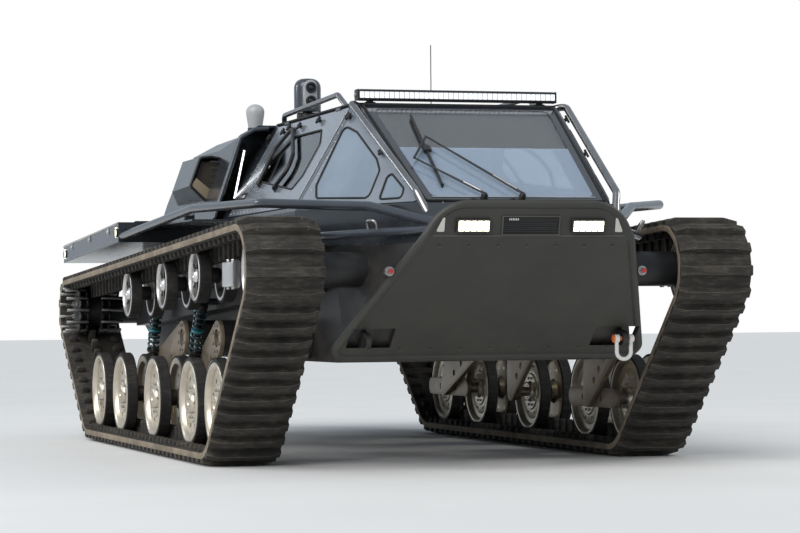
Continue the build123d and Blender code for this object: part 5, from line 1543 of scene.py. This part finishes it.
def makeSeats():
    s = seat
    x = s["x"]
    basePanel = Panel((x, back(1.400), 0.842), xAxis, (0, 0.490, -0.018))
    backPanel = Panel((x, back(1.960), 0.900), xAxis, (0, 0.095, 0.700))
    (pitch, width), (shift, rollWidth) = s["channels"], s["rolls"]
    # base and back: three sewn channels between two raised side rolls
    parts = Parts()
    for panel, length, thick in ((basePanel, 0.470, 0.050), (backPanel, 0.640, 0.046)):
        for k in (-1, 0, 1):
            pad = block((k * pitch, length / 2, 0), (width, length - 0.03, thick), 0.012)
            parts.add("seatCloth", pad, place=panel.place())
        for side in (-1, 1):
            roll = block((side * shift, length / 2, 0.010), (rollWidth, length - 0.05, thick + 0.020), 0.014)
            parts.add("seatCloth", roll, place=panel.place())
    middle = swell(parts.join("seat_pads"))
    head = block(*s["head"])
    head.data.transform(backPanel.place())
    paint(smooth(modify(voxels(head), "SMOOTH", iterations=20, factor=0.5), math.pi), "seatSide")
    other = at(-2 * x, 0, 0)
    for cushion, name in ((middle, "seat_cushion_left"), (moved(middle, other), "seat_cushion_right")):
        fit(named(cushion, name), "root", "seat_black", "seats")
    heads = fit(joined("seat_heads", [head, moved(head, other)]), "root", "seat_black")
    parts = Parts()
    parts.add("trimBlack", slab([(x - 0.236, back(u), v) for u, v in s["shell"]], (0.472, 0, 0), 0.012))
    parts.add("frameBlack", block((x, back(1.670), 0.655), (0.400, 0.440, 0.225), 0.012))
    front, rear = back(1.400), back(1.900)
    for side in (-1, 1):
        foot = x + side * 0.225
        rail = ((foot, front, 0.770), (foot, front, 0.560), (foot, rear, 0.560), (foot, rear, 0.770))
        parts.add("frameBlack", bar(rail, 0.012, 0.03, 4))
        course = ((0.090, 1.985, 1.560), (0.085, 1.935, 1.300), (0.080, 1.880, 0.960))
        strap = [(x + side * u, back(v), z) for u, v, z in course]
        parts.add("sealRubber", bar(strap, 0.007, 0.2, 3))
    shell = parts.join("seat_shells")
    fit(joined("seat_shells", [shell, moved(shell, other)]), "root", "trim_black")


makeDoorTrim()
makeCabTrim()
makeWindscreen()
makeSteering()
makeDash()
makeSeats()
report("cab and inside ready")


# Haunches and pods, left side: dark linings, lip tubes, lit strips, lids and edge seams
sideTrim = {
    "mouthY": back(2.525),  # mouth of the haunch
    "wallY": back(2.880),  # its back wall
    "podY": back(2.900),
    # mouths, walls, lid and ribs as (x, height)
    "haunchMouth": ((0.868, 1.262), (0.718, 1.702), (0.640, 1.745), (0.560, 1.752)),
    "podMouth": ((0.770, 1.326), (0.855, 1.400), (0.914, 1.456),
                 (0.857, 1.611), (0.794, 1.618), (0.712, 1.602)),
    "wall": ((0.852, 1.256), (0.712, 1.668), (0.600, 1.700), (0.600, 1.256)),
    "lid": ((0.768, 1.324), (0.852, 1.396), (0.910, 1.454), (0.880, 1.500), (0.780, 1.420)),
    "rib": ((0.775, 1.345), (0.890, 1.460), (0.842, 1.592), (0.745, 1.590)),
    "ribs": (5, 0.045),  # count, pitch
    "slats": (9, 0.036),
    "led": ((0.744, back(2.560), 1.372), (0.688, back(2.556), 1.634)),
    "cap": (1.060, back(2.260), 1.290),
}


def upright(y, corners, thickness, bevel=0.0):
    # a plate square to Y from (x, z) corners
    return slab([(x, y, z) for x, z in corners], (0, thickness, 0), bevel)


def makeSides():
    t = sideTrim
    mouth, wall, pod = t["mouthY"], t["wallY"], t["podY"]
    parts = Parts()
    parts.add("tubeGrey", bar([(x, mouth - 0.004, z) for x, z in t["haunchMouth"]], 0.0125, 0.03, 4))
    parts.add("frameBlack", bar([(x, pod - 0.004, z) for x, z in t["podMouth"]], 0.008, 0.02, 4))
    # inside the haunch: a brown back wall with slats, a light skin with two lines, the lit strip
    parts.add("podBrown", upright(wall - 0.006, t["wall"], 0.004))
    count, pitch = t["slats"]
    for k in range(count):
        parts.add("trimBlack", block((0.712, wall - 0.012, 1.300 + k * pitch), (0.190, 0.008, 0.012), 0.002, 1))
    near, far = mouth + 0.030, wall - 0.02
    skin = [(0.858, near, 1.254), (0.858, far, 1.254), (0.752, far, 1.560), (0.752, near, 1.560)]
    parts.add("skinLight", slab(skin, (-0.003, 0, -0.001)))
    for shift in (0.0, 0.012):
        line = [(0.848 - shift, y, 1.262 + shift) for y in (mouth + 0.060, wall - 0.03)]
        parts.add("sealRubber", bar(line, 0.0035, sides=3))
    parts.add("ledWhite", bar(t["led"], 0.005, sides=3))
    parts.add("frameBlack", bar([(x, y + 0.008, z) for x, y, z in t["led"]], 0.009, sides=3))
    # inside the pod: ribs and a tan lower lid
    parts.add("lidTan", upright(pod - 0.006, t["lid"], 0.006, 0.002))
    count, pitch = t["ribs"]
    for k in range(count):
        parts.add("podBrown", upright(pod + 0.03 + k * pitch, t["rib"], 0.006))
    spots = flankPanel.row((2.560, 0.020), (2.860, 0.020), 5)
    spots += flankPanel.row((3.660, 0.020), (3.900, 0.020), 4)
    parts.add("boltSteel", hexBolts(spots))
    # grey rounded cap on the side rail ahead of the pod
    cap = ((-0.035, 0), (-0.035, 0.022), (-0.030, 0.027), (0.024, 0.027), (0.035, 0.018), (0.035, 0))
    x, y, z = t["cap"]
    parts.add("plateGrey", turned(cap, t["cap"], yAxis, 28))
    parts.add("frameBlack", block((x, y, z - 0.035), (0.050, 0.036, 0.034), 0.004))
    fit(parts.joinBoth("side_trim"), "root", "body_gunmetal")


# Fender boxes: lid seams, latches, grips, bezels round the lamps, and a step with raised studs
fender = {
    "out": 1.225, "inner": 0.824, "front": 3.383, "rear": 5.190, "top": (1.272, 1.188), "low": 1.158,
    "seams": (0.33, 0.66), "latches": (0.165, 0.495, 0.83),  # shares of the length
    "lamp": 0.060 / 1.807,
    "studs": (7, 0.850, 0.034, 33, 2.020, 0.040),  # rows, first X, pitch; columns, first station, pitch
}


def makeFenders():
    f = fender
    across = Vector((0, f["rear"] - f["front"], f["top"][1] - f["top"][0]))
    side = Panel((f["out"], back(f["front"]), f["low"]), across, zAxis)
    top = Panel((f["inner"], back(f["front"]), f["top"][0]), xAxis, across)
    length = across.length
    parts = Parts()
    for share in f["seams"]:
        parts.add("sealRubber", top.bar([(u, share * length, 0.0008) for u in (0.010, 0.390)], 0.003, sides=2))
    for share in f["latches"]:
        clasp = latch((0.060, 0.040, 0.004), ((0, 0, 0.007), (0.050, 0.014, 0.005), 0.0015))
        parts.add(None, clasp, place=side.place(share * length, 0.084))
        parts.add("frameBlack", top.handle(0.200, share * length, 0.050, 0.026, 0.006, 0.012))
    parts.add("railBright", side.bar(((0.004, 0.110, 0.001), (length - 0.004, 0.106, 0.001)), 0.0045))
    parts.add("boltSteel", rivets(side.row((0.120, 0.014), (length - 0.120, 0.014), 22)))
    parts.add("boltSteel", rivets(top.row((0.020, 0.040), (0.020, length - 0.040), 18)))
    ring = [(0.023 * u + math.copysign(0.019, u), 0.021 * v, 0.003) for u, v in circle(24)]
    for share in (f["lamp"], 1 - f["lamp"]):
        cord = bar(ring, 0.0038, sides=3, cyclic=True)
        parts.add("frameBlack", cord, place=side.place(share * length, 0.056))
    rows, firstX, pitchX, columns, firstStation, pitchY = f["studs"]
    studs = [
        at(firstX + i * pitchX, back(firstStation + j * pitchY), 1.236)
        for i in range(rows) for j in range(columns) if firstX + i * pitchX < 1.06 + 0.1 * (j / columns)
    ]
    parts.add("frameBlack", repeated(drum((0, 0, 0.0015), zAxis, 0.009, 0.003, 8), studs))
    fit(parts.joinBoth("fender_trim"), "root", "body_gunmetal")


# Engine cover: two rows of raised gills, a grip and two latches
gill = {"width": 0.270, "depth": 0.036, "rise": 0.016, "u": (-0.170, 0.170),
        "first": 0.150, "pitch": 0.062, "count": 7}


def makeCoverTrim():
    g, p = gill, coverPanel
    wide, depth, rise = g["width"], g["depth"], g["rise"]
    wedge = [(-wide / 2, y, z) for y, z in ((0, 0), (depth, 0), (depth, rise))]
    places = [p.place(u, g["first"] + k * g["pitch"]) for u in g["u"] for k in range(g["count"])]
    slot = block((0, depth + 0.0005, rise / 2), (wide - 0.008, 0.0015, rise - 0.003))
    parts = Parts()
    parts.add("bodyGunmetal", repeated(slab(wedge, (wide, 0, 0), 0.001, 1), places))
    parts.add("trimBlack", repeated(slot, places))
    parts.add("railBright", p.handle(0, 0.690, 0.090, 0.030, 0.0075, 0.014))
    for u in (-0.330, 0.330):
        clasp = latch((0.050, 0.070, 0.005), ((0, -0.006, 0.009), (0.018, 0.050, 0.007), 0.002))
        parts.add(None, clasp, place=p.place(u, 0.690))
    columns = [spot for u in (-0.440, 0.440) for spot in p.row((u, 0.050), (u, 0.720), 12)]
    parts.add("boltSteel", rivets(columns))
    fit(parts.join("cover_trim"), "engine_cover", "body_gunmetal")


# Tail: lamps in bezels, hitch plate with bolts, lashing eyes, a grille and plates under the deck
tail = {
    "lamp": (0.600, 0.960), "lampSize": (0.150, 0.060), "cells": (4, 0.023),
    "hitch": (0.300, 0.260), "hitchBolts": ((-0.125, 0.125), (-0.105, 0.0, 0.105)),
    "eyes": (0.330, 0.760), "grille": (0.730, 0.090), "blades": (8, 0.0115),
    "closing": ((0.758, back(2.880), 1.063), (0.084, 4.520, 0.006)),
}


def tailLamp():
    width, height = tail["lampSize"]
    count, pitch = tail["cells"]
    parts = Parts()
    outer, opening = (width + 0.030, height + 0.030), (width + 0.002, height + 0.002)
    parts.add("frameBlack", bezel(outer, opening, 0.018, 0.010, 0.003, 0.002))
    parts.add("tailRed", plate(rectangle(width, height), 0.0185, 0.003))
    for k in range(count):
        cell = block(((k - 2.5) * pitch, 0, 0.0185), (0.019, height - 0.012, 0.003), 0.001, 1)
        parts.add("tailRed", cell)
    parts.add("lensClear", block((0.052, 0, 0.0185), (0.036, height - 0.012, 0.003), 0.001, 1))
    return parts.join("lamp")


def makeTail():
    t, p = tail, tailPanel
    parts = Parts()
    u, v = t["lamp"]
    for side in (-1, 1):
        parts.add(None, tailLamp(), place=p.place(side * u, v))
    place = p.place(0, 0.800)
    acrosses, heights = t["hitchBolts"]
    parts.add("frameBlack", plate(rectangle(*t["hitch"]), 0.008, 0.020, 0.0015), place=place)
    bolts = hexBolts([at(x, y, 0.008) for x in acrosses for y in heights], 0.011, 0.008)
    parts.add("boltSteel", bolts, place=place)
    u, v = t["eyes"]
    for side in (-1, 1):
        parts.add("frameBlack", p.handle(side * u, v, 0.04, 0.050, 0.009, 0.02, 0.002))
    place = p.place(0, 1.010)
    width, height = t["grille"]
    rim = (width + 0.030, height + 0.030)
    parts.add("frameBlack", bezel(rim, t["grille"], 0.010, 0.012, 0.006, 0.0015), place=place)
    count, pitch = t["blades"]
    for k in range(count):
        blade = block((0, (k - 3.5) * pitch, 0.004), (width, 0.006, 0.0015), turn=(math.radians(35), 0, 0))
        parts.add("bareAluminium", blade, place=place)
    (x, y, z), size = t["closing"]
    for side in (-1, 1):
        parts.add("hullBlack", block((side * x, y, z), size))
    spots = p.row((-0.680, 1.048), (0.680, 1.048), 16) + p.row((-0.680, 0.715), (0.680, 0.715), 14)
    parts.add("boltSteel", rivets(spots, 0.0055))
    fit(parts.join("tail_trim"), "root", "hull_black")


# Roof: snorkel with a rounded pale head, aerial base, hatch seam, grip and rivets
roof = {
    "snorkel": (-0.400, back(3.472)),
    "bulb": ((1.722, 0), (1.722, 0.040), (1.780, 0.037), (1.840, 0.043), (1.890, 0.051), (1.915, 0.0535)),
    "bulbTop": (1.915, 0.045, 0.0531),  # height, rise, radius
    "aerial": (0.140, back(1.800), 1.770),
    "hatch": [(u, back(v)) for u, v in ((-0.300, 1.350), (0.300, 1.350), (0.300, 1.950), (-0.300, 1.950))],
    "rivets": (13, 0.485, 1.000, 0.115),  # count, x, first station, pitch
}


def makeRoof():
    r = roof
    x, y = r["snorkel"]
    z, rise, radius = r["bulbTop"]
    dome = [(z + rise * up, axisGap + radius * out) for out, up in circle(24)[1:7]]
    band = ((-0.010, 0.036), (-0.010, 0.0445), (0.010, 0.0445), (0.010, 0.036))
    foot = ((-0.040, 0.046), (-0.040, 0.052), (-0.028, 0.0565), (0.0, 0.0565), (0.004, 0.052), (0.004, 0.046))
    parts = Parts()
    parts.add("plateGrey", turned([*r["bulb"], *dome], (x, y, 0), zAxis, 40))
    parts.add("frameBlack", turned(band, (x, y, 1.812), zAxis, 32), turned(foot, (x, y, 1.775), zAxis, 32))
    fit(parts.join("snorkel_intake"), "root", "tube_grey", "snorkel")
    base = ((0.0, 0), (0.0, 0.034), (0.006, 0.034), (0.010, 0.020), (0.046, 0.011), (0.060, 0.008), (0.060, 0))
    parts = Parts()
    parts.add("sealRubber", turned(base, r["aerial"], zAxis, 32))
    parts.add("sealRubber", bar(ringPath(r["hatch"], 0.05, 1.7705), 0.0045, sides=2, cyclic=True))
    parts.add("frameBlack", roofPanel.handle(0, 1.890, 0.07, 0.030, 0.007, 0.012))
    count, x, first, pitch = r["rivets"]
    spots = [at(side * x, back(first + k * pitch), 1.770) for side in (-1, 1) for k in range(count)]
    parts.add("boltSteel", rivets(spots))
    fit(parts.join("roof_trim"), "root", "body_gunmetal")


makeSides()
makeFenders()
makeCoverTrim()
makeTail()
makeRoof()
report("sides, tail and roof ready")


# Camera: it stands where the photograph was taken from
view = {
    "place": (-4.146, -14.350, 0.725),
    "heading": 0.2942,  # from +Y towards +X
    "pitch": 0.0184,
    "roll": -0.0084,
    "lens": 121.82,
    "sensor": 36.0,
}


def addToScene(name, data, matrix):
    obj = bpy.data.objects.new(name, data)
    obj.matrix_world = matrix
    bpy.context.scene.collection.objects.link(obj)
    return obj


def makeCamera():
    cosHeading, sinHeading = math.cos(view["heading"]), math.sin(view["heading"])
    cosPitch, sinPitch = math.cos(view["pitch"]), math.sin(view["pitch"])
    cosRoll, sinRoll = math.cos(view["roll"]), math.sin(view["roll"])
    ahead, right = Vector((sinHeading, cosHeading, 0)), Vector((cosHeading, -sinHeading, 0))
    forward, up = cosPitch * ahead + sinPitch * zAxis, cosPitch * zAxis - sinPitch * ahead
    axes = Matrix((cosRoll * right + sinRoll * up, cosRoll * up - sinRoll * right, -forward))
    lens = bpy.data.cameras.new("camera")
    lens.lens = view["lens"]
    lens.sensor_width = view["sensor"]
    lens.clip_end = 400
    place = Matrix.Translation(view["place"]) @ axes.transposed().to_4x4()
    bpy.context.scene.camera = addToScene("camera", lens, place)


# Floor and light: a plain pale floor under soft studio lamps
studio = {
    "floorSize": 160.0,
    "floorTone": (0.72, 0.715, 0.705),
    "skyTone": (0.80, 0.90, 1.0),
    "skyStrength": 0.55,
    "sun": ((-6.0, -5.0, 7.0), 2.3, 0.9, (1.0, 0.98, 0.95)),  # place, strength, spread, tone
    # lamps: place, target, size, power, tone
    "lamps": (
        ((-6.0, -5.0, 3.4), (0, -0.6, 0.8), 1.6, 60, (1.0, 0.97, 0.93)),
        ((6.5, -2.5, 5.0), (0.4, 0, 0.8), 2.0, 90, (1.0, 0.94, 0.85)),
        ((-6.5, 4.0, 4.0), (0, 0.5, 1.0), 2.0, 70, (0.92, 0.96, 1.0)),
    ),
}


def makeFloor():
    calm()
    bpy.ops.mesh.primitive_plane_add(size=studio["floorSize"], location=origin)
    floor = named(settle(bpy.context.object), "floor")
    finish = Finish("floorFinish", Roughness=0.75)
    colour = studio["floorTone"]
    finish.send("Base Color", finish.blend(finish.noise(0.9, 5.0), tone(colour, 0.94), tone(colour, 1.05)))
    finish.bump(finish.noise(70.0, 4.0), 0.1, 0.002)
    paint(floor, "floorFinish")


def makeLights():
    for place, target, size, power, colour in studio["lamps"]:
        lamp = bpy.data.lights.new("lamp", "AREA")
        lamp.shape = "DISK"
        lamp.size = size
        lamp.energy = power
        lamp.color = colour
        turn = (Vector(target) - Vector(place)).to_track_quat("-Z", "Y").to_matrix().to_4x4()
        addToScene("lamp", lamp, Matrix.Translation(place) @ turn)
    place, strength, spread, colour = studio["sun"]
    sun = bpy.data.lights.new("sun", "SUN")
    sun.energy = strength
    sun.angle = spread
    sun.color = colour
    addToScene("sun", sun, facingTurn(place).to_matrix().to_4x4())


def makeWorld():
    # white where the camera sees it, a pale sky for the light
    world = bpy.data.worlds.new("studio")
    bpy.context.scene.world = world
    world.use_nodes = True
    nodes, links = world.node_tree.nodes, world.node_tree.links
    path = nodes.new("ShaderNodeLightPath")
    seen = nodes.new("ShaderNodeMath")
    seen.operation = "MAXIMUM"
    sky, white = nodes["Background"], nodes.new("ShaderNodeBackground")
    sky.inputs["Color"].default_value = tone(studio["skyTone"])
    sky.inputs["Strength"].default_value = studio["skyStrength"]
    white.inputs["Color"].default_value = tone((1, 1, 1))
    mix = nodes.new("ShaderNodeMixShader")
    for source, target in (
        (path.outputs["Is Camera Ray"], seen.inputs[0]),
        (path.outputs["Is Transmission Ray"], seen.inputs[1]),
        (seen.outputs[0], mix.inputs[0]),
        (sky.outputs[0], mix.inputs[1]),
        (white.outputs[0], mix.inputs[2]),
        (mix.outputs[0], nodes["World Output"].inputs["Surface"]),
    ):
        links.new(source, target)
    bpy.context.scene.view_settings.view_transform = "Standard"


makeCamera()
makeFloor()
makeLights()
makeWorld()
report("camera and studio ready")
